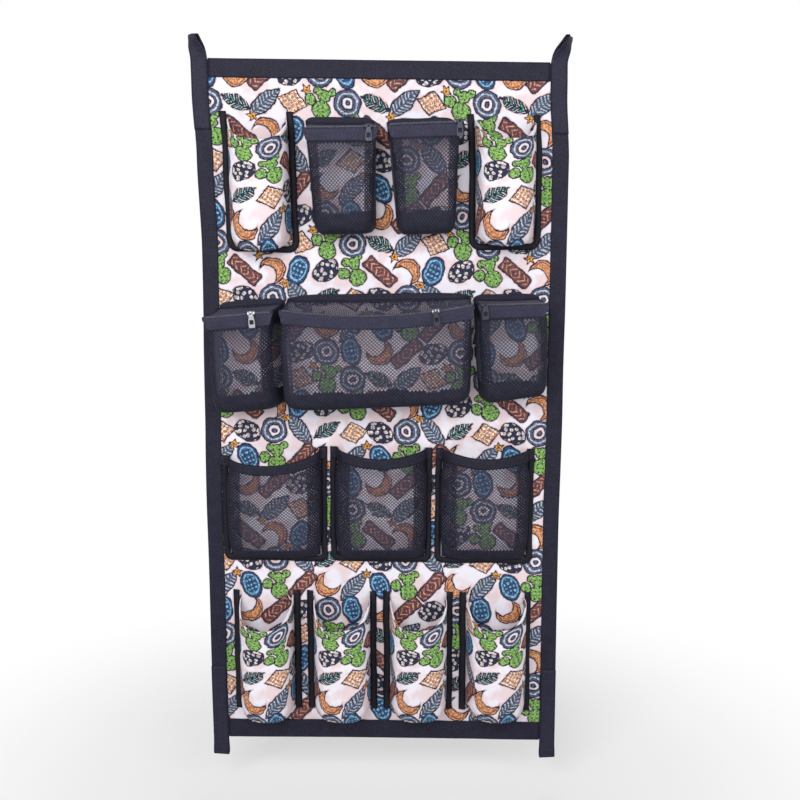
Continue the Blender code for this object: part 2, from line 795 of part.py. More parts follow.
def make_zip_hardware(pocket, slider_mesh, pull_mesh):
    """The slider on its zipper and the pull on its crown, each with its origin on its joint's axis."""
    station = pocket.zip_station(pocket.slider_at)
    slider = bpy.data.objects.new(f"{pocket.name}_slider", slider_mesh.copy())
    bpy.context.scene.collection.objects.link(slider)
    if pocket.sag:
        centre, _ = pocket.zip_circle()
        origin = Matrix.Translation((centre[0], FRONT - pocket.depth, centre[1]))
        slider.data.transform(origin.inverted() @ station)
        slider.matrix_world = origin
    else:
        slider.matrix_world = station
    reach = COIL_RADIUS + SLIDER_CLEARANCE + SLIDER_WALL + CROWN_REACH
    y, z = ring_point(reach, SLIDER_FACING)
    pull = bpy.data.objects.new(f"{pocket.name}_pull", pull_mesh.copy())
    bpy.context.scene.collection.objects.link(pull)
    pull.matrix_world = station @ Matrix.Translation((0.0, y, z))
    wall = pull.modifiers.new("wall", "SOLIDIFY")
    wall.thickness = PULL_THICK
    wall.offset = 0.0
    wall.use_even_offset = True


def zip_pockets(tops):
    """The five zipped pockets, two in the upper row and three below."""
    upper = spread(UPPER_ROW_MARGINS, UPPER_ROW_GAP, UPPER_ROW_SHARES)
    middle = spread(ZIP_ROW_MARGINS, ZIP_ROW_GAP, ZIP_ROW_SHARES)
    upper_top = tops[0] - 0.009
    return [
        ZipPocket(
            "zip_pocket_upper_left",
            *upper[1],
            top=upper_top,
            height=0.190,
            depth=0.060,
            drop=0.020,
            tilt=0.001,
            sag=0.0,
            front_shift=(0.0, 0.0),
            bottom_shift=(0.012, -0.003),
            slider_at=0.90,
        ),
        ZipPocket(
            "zip_pocket_upper_right",
            *upper[2],
            top=upper_top,
            height=0.190,
            depth=0.060,
            drop=0.014,
            tilt=0.004,
            sag=0.0,
            front_shift=(0.003, 0.003),
            bottom_shift=(0.013, -0.005),
            slider_at=0.98,
        ),
        ZipPocket(
            "zip_pocket_left",
            *middle[0],
            top=tops[1] - 0.012,
            height=0.181,
            depth=0.070,
            drop=0.018,
            tilt=0.009,
            sag=0.0,
            front_shift=(-0.011, -0.016),
            bottom_shift=(0.008, 0.008),
            slider_at=0.72,
        ),
        ZipPocket(
            "zip_pocket_middle",
            *middle[1],
            top=tops[1] + 0.001,
            height=0.188,
            depth=0.070,
            drop=0.020,
            tilt=0.008,
            sag=0.013,
            front_shift=(-0.001, -0.002),
            bottom_shift=(0.010, -0.003),
            slider_at=0.81,
        ),
        ZipPocket(
            "zip_pocket_right",
            *middle[2],
            top=tops[1] + 0.003,
            height=0.176,
            depth=0.070,
            drop=0.016,
            tilt=0.003,
            sag=0.0,
            front_shift=(0.009, 0.003),
            bottom_shift=(0.012, 0.002),
            slider_at=0.06,
        ),
    ]


def make_zip_pockets(tops):
    """Each zipped pocket's body, top panel, zipper, slider and pull."""
    slider_mesh = make_slider_mesh()
    pull_mesh = make_pull_mesh()
    for pocket in zip_pockets(tops):
        make_zip_body(pocket)
        make_zip_lid(pocket)
        make_zipper(pocket)
        make_zip_hardware(pocket, slider_mesh, pull_mesh)


def main():
    """Clears the scene and builds the organizer."""
    for obj in list(bpy.data.objects):
        bpy.data.objects.remove(obj)
    tops = row_tops()
    make_panel()
    make_bindings()
    make_straps()
    make_bottle_pockets(tops)
    make_mesh_pockets(tops)
    make_zip_pockets(tops)


main()
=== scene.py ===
"""Looks of a hanging cloth organizer: printed panel, bound edges, webbing loops and four rows of pockets.

Metres, +Z up. The front faces -Y and +X is to the viewer's right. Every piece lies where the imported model's
solid of the same name lies, and its cloth is cut flat first and then bent into place.
"""

import bisect
import logging
import math
from collections.abc import Callable, Sequence
from dataclasses import dataclass, field
from enum import Enum, auto

import bmesh
import bpy
from mathutils import Matrix, Vector, noise


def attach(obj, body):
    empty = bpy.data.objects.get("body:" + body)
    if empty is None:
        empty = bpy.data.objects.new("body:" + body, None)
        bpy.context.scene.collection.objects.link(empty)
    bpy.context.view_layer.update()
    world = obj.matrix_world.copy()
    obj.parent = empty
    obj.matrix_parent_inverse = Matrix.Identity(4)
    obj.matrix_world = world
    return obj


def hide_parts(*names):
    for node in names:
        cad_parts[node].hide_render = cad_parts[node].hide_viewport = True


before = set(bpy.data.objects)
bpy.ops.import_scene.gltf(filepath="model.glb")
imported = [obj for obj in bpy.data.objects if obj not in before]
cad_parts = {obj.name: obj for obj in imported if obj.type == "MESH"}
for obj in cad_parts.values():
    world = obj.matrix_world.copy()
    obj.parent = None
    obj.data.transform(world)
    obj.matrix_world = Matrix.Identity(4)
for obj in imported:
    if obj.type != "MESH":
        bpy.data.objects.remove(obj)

LOG = logging.getLogger("organizer")
CUT_MAP = "cut"
MILLIMETRE = 0.001
TINY = 1e-6

# Where nearly all of a noise texture's values lie
NOISE_SPAN = (0.3, 0.7)

Socket = bpy.types.NodeSocket
Drawn = tuple[Socket, Socket]

# Cloth, tape and webbing
GAP = 0.0003
CLOTH = 0.0010
PANEL_THICK = 0.0012
BINDING_THICK = 0.0010
TAPE_THICK = 0.0015
STRAP_THICK = 0.0016

# The cloth's real threads lie about 0.4 mm apart; they are drawn 1.3 mm apart, the least that shows
THREAD_PITCH = 1.3

# Panel and its bound edges
PANEL_WIDTH = 0.620
PANEL_HEIGHT = 1.189
PANEL_TOP = -0.042
PANEL_BOTTOM = PANEL_TOP - PANEL_HEIGHT
HALF_WIDTH = PANEL_WIDTH / 2
SIDE_BINDING = 0.026
TOP_BINDING = 0.029
BOTTOM_BINDING = 0.033
STRAP_WIDTH = 0.027
STRAP_OVERHANG = 0.002
STRAP_REACH = PANEL_THICK / 2 + GAP + BINDING_THICK + GAP
TAPE_WIDTH = 0.011
FRONT = -GAP

# Zipper
ZIP_TAPE_THICK = 0.0009
ZIP_TAPE_FRONT = 0.021
ZIP_TAPE_LID = 0.011
ZIP_TAPE_WALL = 0.0008
ZIP_TAIL = 0.005
ZIP_NOSE = 0.003
ZIP_TAPER = 0.86
COIL_RADIUS = 0.0018
COIL_OUT = GAP + ZIP_TAPE_THICK + COIL_RADIUS / 3
COIL_WIRE = 0.00042
COIL_PLAY = 0.0001
COIL_PITCH = 0.0017
COIL_STEPS = 8
METAL_EDGE = 0.00022

# Net: the real strands lie about 2.5 mm apart; they are drawn as coarse as they need to be to show
NET_CELL = 0.0062
NET_STRAND = 0.00118
NET_THICK = 0.0006
NET_DOUBLED = 0.0029
SEAM_GAP = 0.0002

# Pockets: the closed edge in cells, and the side wall and the belly's reach as shares of the depth
EDGE_CELLS = 0.9
SIDE_WALL = 0.93
BELLY_REACH = 1.5

# Tapes of the pockets: the cells that they are cut in, and their thicknesses
BAND_CELL = 0.005
HEM_CELL = 0.0042
ZIP_CELL = 0.003
HEM_WALL = 0.0009
LINING_WALL = 0.0006
BAND_WALL = 0.0008

# Slow waves of the hung cloth, which die out away from the panel; each kind has its own layer of noise
WAVE_HEIGHT = 0.0022
WAVE_LENGTH = 0.22
WAVE_LAYER = 3.7
PUCKER_HEIGHT = 0.0006
PUCKER_LENGTH = 0.045
PUCKER_LAYER = 8.1
WOBBLE_HEIGHT = 0.0010
WOBBLE_WIDTH = 0.5
WOBBLE_LENGTH = 0.16
WOBBLE_LAYER = 5.3
WAVE_REACH = 0.032
HANG_SLOPE = -0.0125

# How far the hung panel's left and right edges drift to the right, by the distance below the loops' crowns
EDGE_DRIFT = (
    (0.00, -0.007, -0.007),
    (0.09, -0.006, -0.006),
    (0.20, -0.001, 0.000),
    (0.36, 0.004, 0.000),
    (0.60, 0.001, -0.001),
    (0.85, 0.000, -0.004),
    (1.28, 0.002, -0.003),
)


@dataclass(frozen=True)
class PocketRow:
    """A row of pockets across the panel.

    height is the row's own, spacing its share of the spare height, which lies above it, margins the gaps to
    the side bindings, gap the one between two pockets, and shares divides the rest of the width.
    """

    height: float
    spacing: float
    margins: tuple[float, float]
    gap: float
    shares: tuple[float, ...]

    def spans(self) -> list[tuple[float, float]]:
        """The left and right of each pocket."""
        left = -HALF_WIDTH + SIDE_BINDING + self.margins[0]
        room = PANEL_WIDTH - 2 * SIDE_BINDING - sum(self.margins) - self.gap * (len(self.shares) - 1)
        places = []
        for share in self.shares:
            width = room * share / sum(self.shares)
            places.append((left, left + width))
            left += width + self.gap
        return places


UPPER_ROW = PocketRow(
    height=0.221, spacing=0.20, margins=(0.016, 0.018), gap=0.020, shares=(1.0, 0.94, 0.94, 1.0)
)
ZIP_ROW = PocketRow(
    height=0.183, spacing=0.30, margins=(0.001, 0.018), gap=0.005, shares=(0.112, 0.315, 0.113)
)
MESH_ROW = PocketRow(
    height=0.207, spacing=0.30, margins=(0.001, 0.019), gap=0.006, shares=(1.03, 1.00, 0.97)
)
LOWER_ROW = PocketRow(
    height=0.245, spacing=0.20, margins=(0.016, 0.020), gap=0.013, shares=(0.96, 1.0, 1.0, 1.03)
)
ROWS = (UPPER_ROW, ZIP_ROW, MESH_ROW, LOWER_ROW)


def row_tops() -> list[float]:
    """The height of the top of each row of pockets, from the upper row down."""
    spare = PANEL_HEIGHT - TOP_BINDING - BOTTOM_BINDING - sum(row.height for row in ROWS)
    spacings = sum(row.spacing for row in ROWS)
    tops = []
    level = PANEL_TOP - TOP_BINDING
    for row in ROWS:
        level -= spare * row.spacing / spacings
        tops.append(level)
        level -= row.height
    return tops


def linear(colour: str) -> tuple[float, float, float, float]:
    """Turns an sRGB hex colour to linear RGBA.

    Args:
        colour: Six hex digits after a hash.

    Returns:
        The red, green, blue and alpha values.
    """
    parts = [int(colour[i : i + 2], 16) / 255 for i in (1, 3, 5)]
    red, green, blue = (p / 12.92 if p <= 0.04045 else ((p + 0.055) / 1.055) ** 2.4 for p in parts)
    return red, green, blue, 1.0


def ease(value: float) -> float:
    """Goes smoothly from 0 to 1 as the value does, and stays there outside."""
    held = max(0.0, min(1.0, value))
    return held * held * (3 - 2 * held)


def wrinkle(across: float, down: float, layer: float) -> float:
    """Smooth noise of about -1 to 1 at a place; another layer gives another pattern."""
    return noise.noise(Vector((across, down, layer)))


@dataclass(frozen=True)
class Finish:
    """A material of the organizer: its name, its main colour and its roughness."""

    name: str
    colour: str
    roughness: float
    shine: float = 0.5

    def build(self) -> bpy.types.Material:
        """Makes the material on its first use.

        Returns:
            The material with its nodes.
        """
        made = bpy.data.materials.get(self.name)
        if made is None:
            made = bpy.data.materials.new(self.name)
            made.use_nodes = True
            board = NodeBoard(made.node_tree)
            shader = made.node_tree.nodes["Principled BSDF"]
            shader.inputs["Base Color"].default_value = linear(self.colour)
            shader.inputs["Roughness"].default_value = self.roughness
            shader.inputs["Specular IOR Level"].default_value = self.shine
            self.dress(board, shader)
        return made

    def dress(self, board: "NodeBoard", shader: bpy.types.Node) -> None:
        """Adds what the plain finish lacks; each kind of finish has its own."""


@dataclass
class NodeBoard:
    """A material's node tree."""

    tree: bpy.types.NodeTree

    def add(self, kind: str, *inputs: object, **settings: object) -> Socket:
        """Adds a node with its settings and links.

        Args:
            kind: The node's type, without what all shader nodes share, and its operation after a full stop.
            inputs: A socket, a value or None for each input that the settings leave in use.
            settings: The node's own settings.

        Returns:
            The first output in use.
        """
        kind, _, operation = kind.partition(".")
        node = self.tree.nodes.new("ShaderNode" + kind)
        if operation:
            node.operation = operation
        for name, value in settings.items():
            setattr(node, name, value)
        for socket, value in zip([s for s in node.inputs if s.enabled], inputs):
            if isinstance(value, Socket):
                self.tree.links.new(value, socket)
            elif value is not None:
                socket.default_value = value
        return next(s for s in node.outputs if s.enabled)

    def feed(self, shader: bpy.types.Node, name: str, value: Socket) -> None:
        """Links a value to the shader's input of that name."""
        self.tree.links.new(value, shader.inputs[name])

    def cut_place(self) -> Socket:
        """The place on the flat cut, in millimetres."""
        place = self.add("UVMap", uv_map=CUT_MAP)
        return self.add("VectorMath.MULTIPLY", place, (1 / MILLIMETRE, 1 / MILLIMETRE, 0.0))

    def cross_weave(self, place: Socket, height: float) -> Socket:
        """The relief of a plain weave with threads THREAD_PITCH apart."""
        turns = 2 * math.pi / THREAD_PITCH
        thread = self.add("VectorMath.MULTIPLY", place, (turns, turns, 0.0))
        weave = self.add("VectorMath.SINE", thread)
        return self.add("VectorMath.DOT_PRODUCT", weave, (height, height, 0.0))


class MotifShape(Enum):
    """The shapes that the print is made of."""

    LEAF = auto()
    SPRIG = auto()
    POD = auto()
    BAR = auto()
    CRESCENT = auto()
    PEBBLE = auto()
    RING = auto()
    DIAMOND = auto()
    SPRAY = auto()
    STAR = auto()


@dataclass(frozen=True)
class Motif:
    """One shape of the print with its fill, its inner colour and its places (x mm, y mm, degrees)."""

    shape: MotifShape
    fill: str
    inner: str
    places: tuple[tuple[float, float, float], ...]


class MotifBoard(NodeBoard):
    """Draws the print's motifs; every place and distance is in millimetres.

    The method of each motif gives the distance outside its outline, and where its inner colour shows.
    """

    def nearest(self, place: Socket, motif: Motif, tile: float, growth: float) -> Socket:
        """The place as seen from the nearest copy of a motif, turned upright.

        Args:
            place: The place on the cut.
            motif: The motif with its places in the tile.
            tile: The side of the square tile that repeats.
            growth: How much larger the motif is printed than it is drawn.

        Returns:
            A vector from the motif's middle.
        """
        half = tile / 2
        size = (growth, growth, 1.0)
        best = None
        for x, y, degrees in motif.places:
            low = (x - half, y - half, -half)
            high = (x + half, y + half, half)
            wrapped = self.add("VectorMath.WRAP", place, high, low)
            turn = (0.0, 0.0, math.radians(degrees))
            seen = self.add("Mapping", wrapped, (x, y, 0.0), turn, size, vector_type="TEXTURE")
            far = self.add("VectorMath.LENGTH", seen)
            if best is None:
                best, least = seen, far
            else:
                closer = self.add("Math.LESS_THAN", far, least)
                best = self.add("Mix", closer, best, seen, data_type="VECTOR")
                least = self.add("Math.MINIMUM", far, least)
        return best

    def circle(self, place: Socket, centre: tuple[float, float], radius: float) -> Socket:
        """The distance outside a circle."""
        far = self.add("VectorMath.DISTANCE", place, (*centre, 0.0))
        return self.add("Math.SUBTRACT", far, radius)

    def oval(self, place: Socket, half: tuple[float, float]) -> Socket:
        """About the distance outside an oval of the given half width and half height."""
        scaled = self.add("VectorMath.MULTIPLY", place, (1 / half[0], 1 / half[1], 0.0))
        far = self.add("VectorMath.LENGTH", scaled)
        mean = (half[0] + half[1]) / 2
        return self.add("Math.MULTIPLY_ADD", far, mean, -mean)

    def blade(self, place: Socket, half: tuple[float, float]) -> Socket:
        """The distance outside a pointed leaf of the given half width and half length."""
        radius = (half[0] ** 2 + half[1] ** 2) / (2 * half[0])
        folded = self.add("VectorMath.ABSOLUTE", place)
        moved = self.add("VectorMath.ADD", folded, (radius - half[0], 0.0, 0.0))
        far = self.add("VectorMath.LENGTH", moved)
        return self.add("Math.SUBTRACT", far, radius)

    def rounded_bar(self, place: Socket, half: tuple[float, float], corner: float) -> Socket:
        """The distance outside a bar with round corners."""
        folded = self.add("VectorMath.ABSOLUTE", place)
        inner = (half[0] - corner, half[1] - corner, 0.0)
        moved = self.add("VectorMath.SUBTRACT", folded, inner)
        held = self.add("VectorMath.MAXIMUM", moved, (0.0, 0.0, 0.0))
        far = self.add("VectorMath.LENGTH", held)
        return self.add("Math.SUBTRACT", far, corner)

    def stripes(self, place: Socket, way: tuple[float, float], half_pitch: float) -> Socket:
        """The distance from the nearest of a row of lines across the given way."""
        along = self.add("VectorMath.DOT_PRODUCT", place, (*way, 0.0))
        return self.add("Math.PINGPONG", along, half_pitch)

    def dots(self, place: Socket, pitch: tuple[float, float], radius: float) -> Socket:
        """Is 1 in a grid of dots."""
        half = (pitch[0] / 2, pitch[1] / 2, 1.0)
        low = (-half[0], -half[1], -1.0)
        wrapped = self.add("VectorMath.WRAP", place, half, low)
        far = self.add("VectorMath.LENGTH", wrapped)
        return self.add("Math.LESS_THAN", far, radius)

    def mirrored(self, place: Socket) -> Socket:
        """The place with its left half folded over onto the right."""
        folded = self.add("VectorMath.MULTIPLY", place, (-1.0, 1.0, 0.0))
        return self.add("VectorMath.MAXIMUM", place, folded)

    def leaf(self, place: Socket) -> Drawn:
        """A feathery leaf: light veins slant from its rib to its edge."""
        vein_half = 0.95
        rib_half = 0.8
        outline = self.blade(place, half=(10.5, 27.0))
        mirrored = self.mirrored(place)
        veins = self.stripes(mirrored, way=(-0.55, 0.85), half_pitch=2.3)
        off_rib = self.add("VectorMath.DOT_PRODUCT", mirrored, (1.0, 0.0, 0.0))
        vein = self.add("Math.LESS_THAN", veins, vein_half)
        beside = self.add("Math.GREATER_THAN", off_rib, rib_half)
        return outline, self.add("Math.MULTIPLY", vein, beside)

    def sprig(self, place: Socket) -> Drawn:
        """One large round leaf with smaller ones budding from it, dotted all over."""
        buds = (((-12.5, 0.5), 7.5), ((4.5, 9.5), 8.2), ((-5.5, 14.0), 5.0), ((13.5, 16.5), 5.0))
        outline = self.circle(place, centre=(4.0, -9.0), radius=11.5)
        for centre, radius in buds:
            outline = self.add("Math.MINIMUM", outline, self.circle(place, centre, radius))
        return outline, self.dots(place, pitch=(6.4, 5.6), radius=1.15)

    def pod(self, place: Socket) -> Drawn:
        """An oval seed pod: a line inside its edge, and seeds within the line."""
        line_depth = 4.4
        line_half = 1.2
        seed_depth = 6.6
        outline = self.oval(place, half=(13.5, 20.0))
        line = self.add("Math.COMPARE", outline, -line_depth, line_half)
        seeds = self.dots(place, pitch=(5.2, 6.4), radius=1.7)
        deep = self.add("Math.LESS_THAN", outline, -seed_depth)
        seeded = self.add("Math.MULTIPLY", seeds, deep)
        return outline, self.add("Math.MAXIMUM", line, seeded)

    def bar(self, place: Socket) -> Drawn:
        """A rounded bar with chevrons that stop short of its edge."""
        line_half = 1.0
        rim = 2.5
        outline = self.rounded_bar(place, half=(24.0, 8.6), corner=2.6)
        folded = self.add("VectorMath.ABSOLUTE", place)
        chevrons = self.stripes(folded, way=(0.8, 0.8), half_pitch=3.1)
        drawn = self.add("Math.LESS_THAN", chevrons, line_half)
        deep = self.add("Math.LESS_THAN", outline, -rim)
        return outline, self.add("Math.MULTIPLY", drawn, deep)

    def crescent(self, place: Socket) -> Drawn:
        """A disc with a bite out of it, and a line inside its round edge."""
        line_depth = 3.2
        line_half = 0.8
        disc = self.circle(place, centre=(0.0, 0.0), radius=17.5)
        bite = self.circle(place, centre=(9.5, 5.0), radius=14.5)
        into_bite = self.add("Math.MULTIPLY", bite, -1.0)
        outline = self.add("Math.MAXIMUM", disc, into_bite)
        return outline, self.add("Math.COMPARE", disc, -line_depth, line_half)

    def pebble(self, place: Socket) -> Drawn:
        """An oval pebble with scattered spots."""
        spots_per_mm = 0.135
        spot_size = 0.34
        outline = self.oval(place, half=(19.0, 13.5))
        spots = self.add("TexVoronoi", place, spots_per_mm, voronoi_dimensions="2D", feature="F1")
        return outline, self.add("Math.LESS_THAN", spots, spot_size)

    def ring(self, place: Socket) -> Drawn:
        """A ring round a small core, with a line along its middle."""
        middle = 13.0
        band_half = 4.6
        core_radius = 3.2
        line_half = 1.1
        far = self.add("VectorMath.LENGTH", place)
        band = self.add("Math.SUBTRACT", far, middle)
        centred = self.add("Math.ABSOLUTE", band)
        rim = self.add("Math.SUBTRACT", centred, band_half)
        core = self.add("Math.SUBTRACT", far, core_radius)
        outline = self.add("Math.MINIMUM", rim, core)
        return outline, self.add("Math.COMPARE", band, 0.0, line_half)

    def diamond(self, place: Socket) -> Drawn:
        """A diamond of checks."""
        slope = (0.62, 0.785, 0.0)
        half = 12.2
        checks_per_mm = 0.27
        folded = self.add("VectorMath.ABSOLUTE", place)
        far = self.add("VectorMath.DOT_PRODUCT", folded, slope)
        outline = self.add("Math.SUBTRACT", far, half)
        checks = self.add("TexChecker", place, None, None, checks_per_mm)
        return outline, checks.node.outputs["Fac"]

    def spray(self, place: Socket) -> Drawn:
        """A spray of slanting leaves on a thin stem, dotted all over."""
        gap_half = 1.35
        blade = self.blade(place, half=(9.0, 19.0))
        gaps = self.stripes(self.mirrored(place), way=(-0.62, 0.78), half_pitch=3.1)
        leaves = self.add("Math.SUBTRACT", gap_half, gaps)
        outline = self.add("Math.MAXIMUM", blade, leaves)
        stem = self.rounded_bar(place, half=(0.7, 21.0), corner=0.6)
        outline = self.add("Math.MINIMUM", outline, stem)
        return outline, self.dots(place, pitch=(3.0, 3.0), radius=0.8)

    def star(self, place: Socket) -> Drawn:
        """A small star with a dot in its middle."""
        points = 5.0
        sharpness = 0.28
        radius = 4.6
        dot_radius = 1.6
        parts = self.add("SeparateXYZ", place).node.outputs
        angle = self.add("Math.ARCTAN2", parts["X"], parts["Y"])
        turned = self.add("Math.MULTIPLY", angle, points)
        wave = self.add("Math.COSINE", turned)
        grown = self.add("Math.MULTIPLY_ADD", wave, -sharpness, 1.0)
        far = self.add("VectorMath.LENGTH", place)
        drawn_in = self.add("Math.MULTIPLY", far, grown)
        outline = self.add("Math.SUBTRACT", drawn_in, radius)
        return outline, self.add("Math.LESS_THAN", far, dot_radius)

    def draw(self, shape: MotifShape, place: Socket) -> Drawn:
        """Draws one shape.

        Args:
            shape: The shape to draw.
            place: The place as seen from its middle.

        Returns:
            The distance outside its outline, and where its inner colour shows.
        """
        drawers = {
            MotifShape.LEAF: self.leaf,
            MotifShape.SPRIG: self.sprig,
            MotifShape.POD: self.pod,
            MotifShape.BAR: self.bar,
            MotifShape.CRESCENT: self.crescent,
            MotifShape.PEBBLE: self.pebble,
            MotifShape.RING: self.ring,
            MotifShape.DIAMOND: self.diamond,
            MotifShape.SPRAY: self.spray,
            MotifShape.STAR: self.star,
        }
        return drawers[shape](place)


@dataclass(frozen=True)
class PrintedCloth(Finish):
    """Coated woven polyester with an all-over print: pale, dull, crisp dark outlines on soft blotches.

    Sizes are in millimetres, and a value that ends in per_mm is how finely a noise is divided. The blotches,
    the shading and the scratches each show between two values of their noise.
    """

    ground: str = "#E8E4EE"
    blotch: str = "#E2CFD3"
    outline: str = "#202237"
    halo: str = "#AA827C"
    tile: float = 190.0
    scale: float = 1.22
    growth: float = 1.04
    blotches_per_mm: float = 0.028
    blotch_edge: tuple[float, float] = (0.42, 0.62)
    shakes_per_mm: float = 0.07
    shake: float = 5.0
    strokes_per_mm: float = 0.32
    stroke_push: float = 1.4
    shade_edge: tuple[float, float] = (0.46, 0.50)
    shade: float = 0.40
    scratch_middle: float = 0.56
    scratch_half: float = 0.020
    line_middle: float = 0.7
    line_half: float = 0.80
    halo_start: float = 0.6
    halo_width: float = 2.6
    halo_strength: float = 0.95
    weave_height: float = 0.035
    creases_per_mm: float = 0.035
    crease_height: float = 2.2
    motifs: tuple[Motif, ...] = (
        Motif(MotifShape.LEAF, "#525C72", "#BAC2D0", ((20, 18, -42), (134, 60, 38), (96, 134, -50))),
        Motif(MotifShape.POD, "#34507C", "#86BEDD", ((60, 20, 25), (133, 97, -22), (18, 174, 12))),
        Motif(MotifShape.SPRIG, "#8DBB62", "#2E4A24", ((97, 20, 0), (20, 96, 18), (172, 135, -14))),
        Motif(MotifShape.BAR, "#784A47", "#D39B83", ((135, 20, 48), (58, 96, -40), (97, 172, 42))),
        Motif(MotifShape.CRESCENT, "#E6A270", "#9E5C44", ((173, 21, 20), (96, 96, 195), (58, 173, 100))),
        Motif(MotifShape.PEBBLE, "#2B2D45", "#E3D8D4", ((59, 58, -30), (172, 97, 35), (135, 172, 20))),
        Motif(MotifShape.RING, "#56617A", "#C9D0E0", ((97, 59, 0), (20, 134, 0), (173, 173, 0))),
        Motif(MotifShape.DIAMOND, "#E0925A", "#F2E4D8", ((21, 57, 12), (135, 135, -16))),
        Motif(MotifShape.SPRAY, "#3A7F78", "#9CCBC1", ((172, 60, -60), (58, 134, 64))),
        Motif(
            MotifShape.STAR, "#EBA63C", "#8E4B36", ((40, 38, 0), (114, 78, 20), (78, 116, 8), (154, 152, 30))
        ),
    )

    def blotched(self, board: MotifBoard, flat: Socket) -> Socket:
        """The ground's colour, with its soft blotches."""
        cloud = board.add("TexNoise", flat, self.blotches_per_mm, 2.0, 0.5, noise_dimensions="2D")
        faded = board.add("MapRange", cloud, *self.blotch_edge, 0.0, 1.0, interpolation_type="SMOOTHSTEP")
        return board.add("Mix", faded, linear(self.ground), linear(self.blotch), data_type="RGBA")

    def shaken(self, board: MotifBoard, flat: Socket) -> Socket:
        """The place on the print, shaken a little as if drawn by hand."""
        sized = board.add("VectorMath.MULTIPLY", flat, (1 / self.scale, 1 / self.scale, 0.0))
        hand = board.add("TexNoise", sized, self.shakes_per_mm, 1.0, 0.5, noise_dimensions="2D")
        wide = (self.shake, self.shake, 0.0)
        middle = (-self.shake / 2, -self.shake / 2, 0.0)
        moved = board.add("VectorMath.MULTIPLY_ADD", hand.node.outputs["Color"], wide, middle)
        return board.add("VectorMath.ADD", sized, moved)

    def filled(self, board: MotifBoard, place: Socket, ground: Socket) -> Drawn:
        """The colour of the ground and the filled motifs, and the distance outside the nearest outline."""
        colour, nearest = ground, None
        for motif in self.motifs:
            seen = board.nearest(place, motif, self.tile, self.growth)
            outline, inner = board.draw(motif.shape, seen)
            fill = board.add("Mix", inner, linear(motif.fill), linear(motif.inner), data_type="RGBA")
            inside = board.add("Math.LESS_THAN", outline, 0.0)
            colour = board.add("Mix", inside, colour, fill, data_type="RGBA")
            nearest = board.add("Math.MINIMUM", nearest, outline) if nearest else outline
        return colour, nearest

    def inked(self, board: MotifBoard, strokes: Socket, colour: Socket, nearest: Socket) -> Socket:
        """Shades and scratches the motifs and draws their dark outlines, with a halo outside them.

        Args:
            board: The material's nodes.
            strokes: The noise of the strokes.
            colour: The filled print.
            nearest: The distance outside the nearest outline.

        Returns:
            The finished print's colour.
        """
        shaded = board.add("MapRange", strokes, *self.shade_edge, 0.0, self.shade)
        inked = board.add("Math.COMPARE", strokes, self.scratch_middle, self.scratch_half)
        within = board.add("Math.LESS_THAN", nearest, 0.0)
        dimmed = board.add("Math.MULTIPLY", shaded, within)
        deep = board.add("Mix", dimmed, colour, linear(self.outline), data_type="RGBA")
        drawn = board.add("Math.MULTIPLY_ADD", strokes, self.stroke_push, nearest)
        halo_end = self.halo_start + self.halo_width
        glow = board.add("MapRange", drawn, self.halo_start, halo_end, self.halo_strength, 0.0)
        outside = board.add("Math.GREATER_THAN", drawn, self.halo_start)
        rim = board.add("Math.MULTIPLY", glow, outside)
        haloed = board.add("Mix", rim, deep, linear(self.halo), data_type="RGBA")
        line = board.add("Math.COMPARE", drawn, self.line_middle, self.line_half)
        scratches = board.add("Math.MULTIPLY", inked, within)
        ink = board.add("Math.MAXIMUM", line, scratches)
        return board.add("Mix", ink, haloed, linear(self.outline), data_type="RGBA")

    def dress(self, board: NodeBoard, shader: bpy.types.Node) -> None:
        """Prints the motifs on blotched ground and gives the cloth a fine weave and soft creases."""
        board = MotifBoard(board.tree)
        flat = board.cut_place()
        place = self.shaken(board, flat)
        strokes = board.add("TexNoise", place, self.strokes_per_mm, 1.0, 0.5, noise_dimensions="2D")
        colour, nearest = self.filled(board, place, self.blotched(board, flat))
        board.feed(shader, "Base Color", self.inked(board, strokes, colour, nearest))
        weave = board.cross_weave(flat, self.weave_height)
        creases = board.add("TexNoise", flat, self.creases_per_mm, 3.0, 0.55, noise_dimensions="2D")
        relief = board.add("Math.MULTIPLY_ADD", creases, self.crease_height, weave)
        board.feed(shader, "Normal", board.add("Bump", 1.0, MILLIMETRE, 1.0, relief))


@dataclass(frozen=True)
class ClothReverse(Finish):
    """The coated back of the printed cloth: pale grey and matt, with the weave pressed through."""

    cloudy: str = "#B9B2B6"
    clouds_per_mm: float = 0.02
    weave_height: float = 0.05

    def dress(self, board: NodeBoard, shader: bpy.types.Node) -> None:
        """Gives the coating faint clouds and the weave."""
        place = board.cut_place()
        cloud = board.add("TexNoise", place, self.clouds_per_mm, 3.0, 0.6, noise_dimensions="2D")
        shade = board.add("Mix", cloud, linear(self.cloudy), linear(self.colour), data_type="RGBA")
        board.feed(shader, "Base Color", shade)
        weave = board.cross_weave(place, self.weave_height)
        board.feed(shader, "Normal", board.add("Bump", 1.0, MILLIMETRE, 1.0, weave))


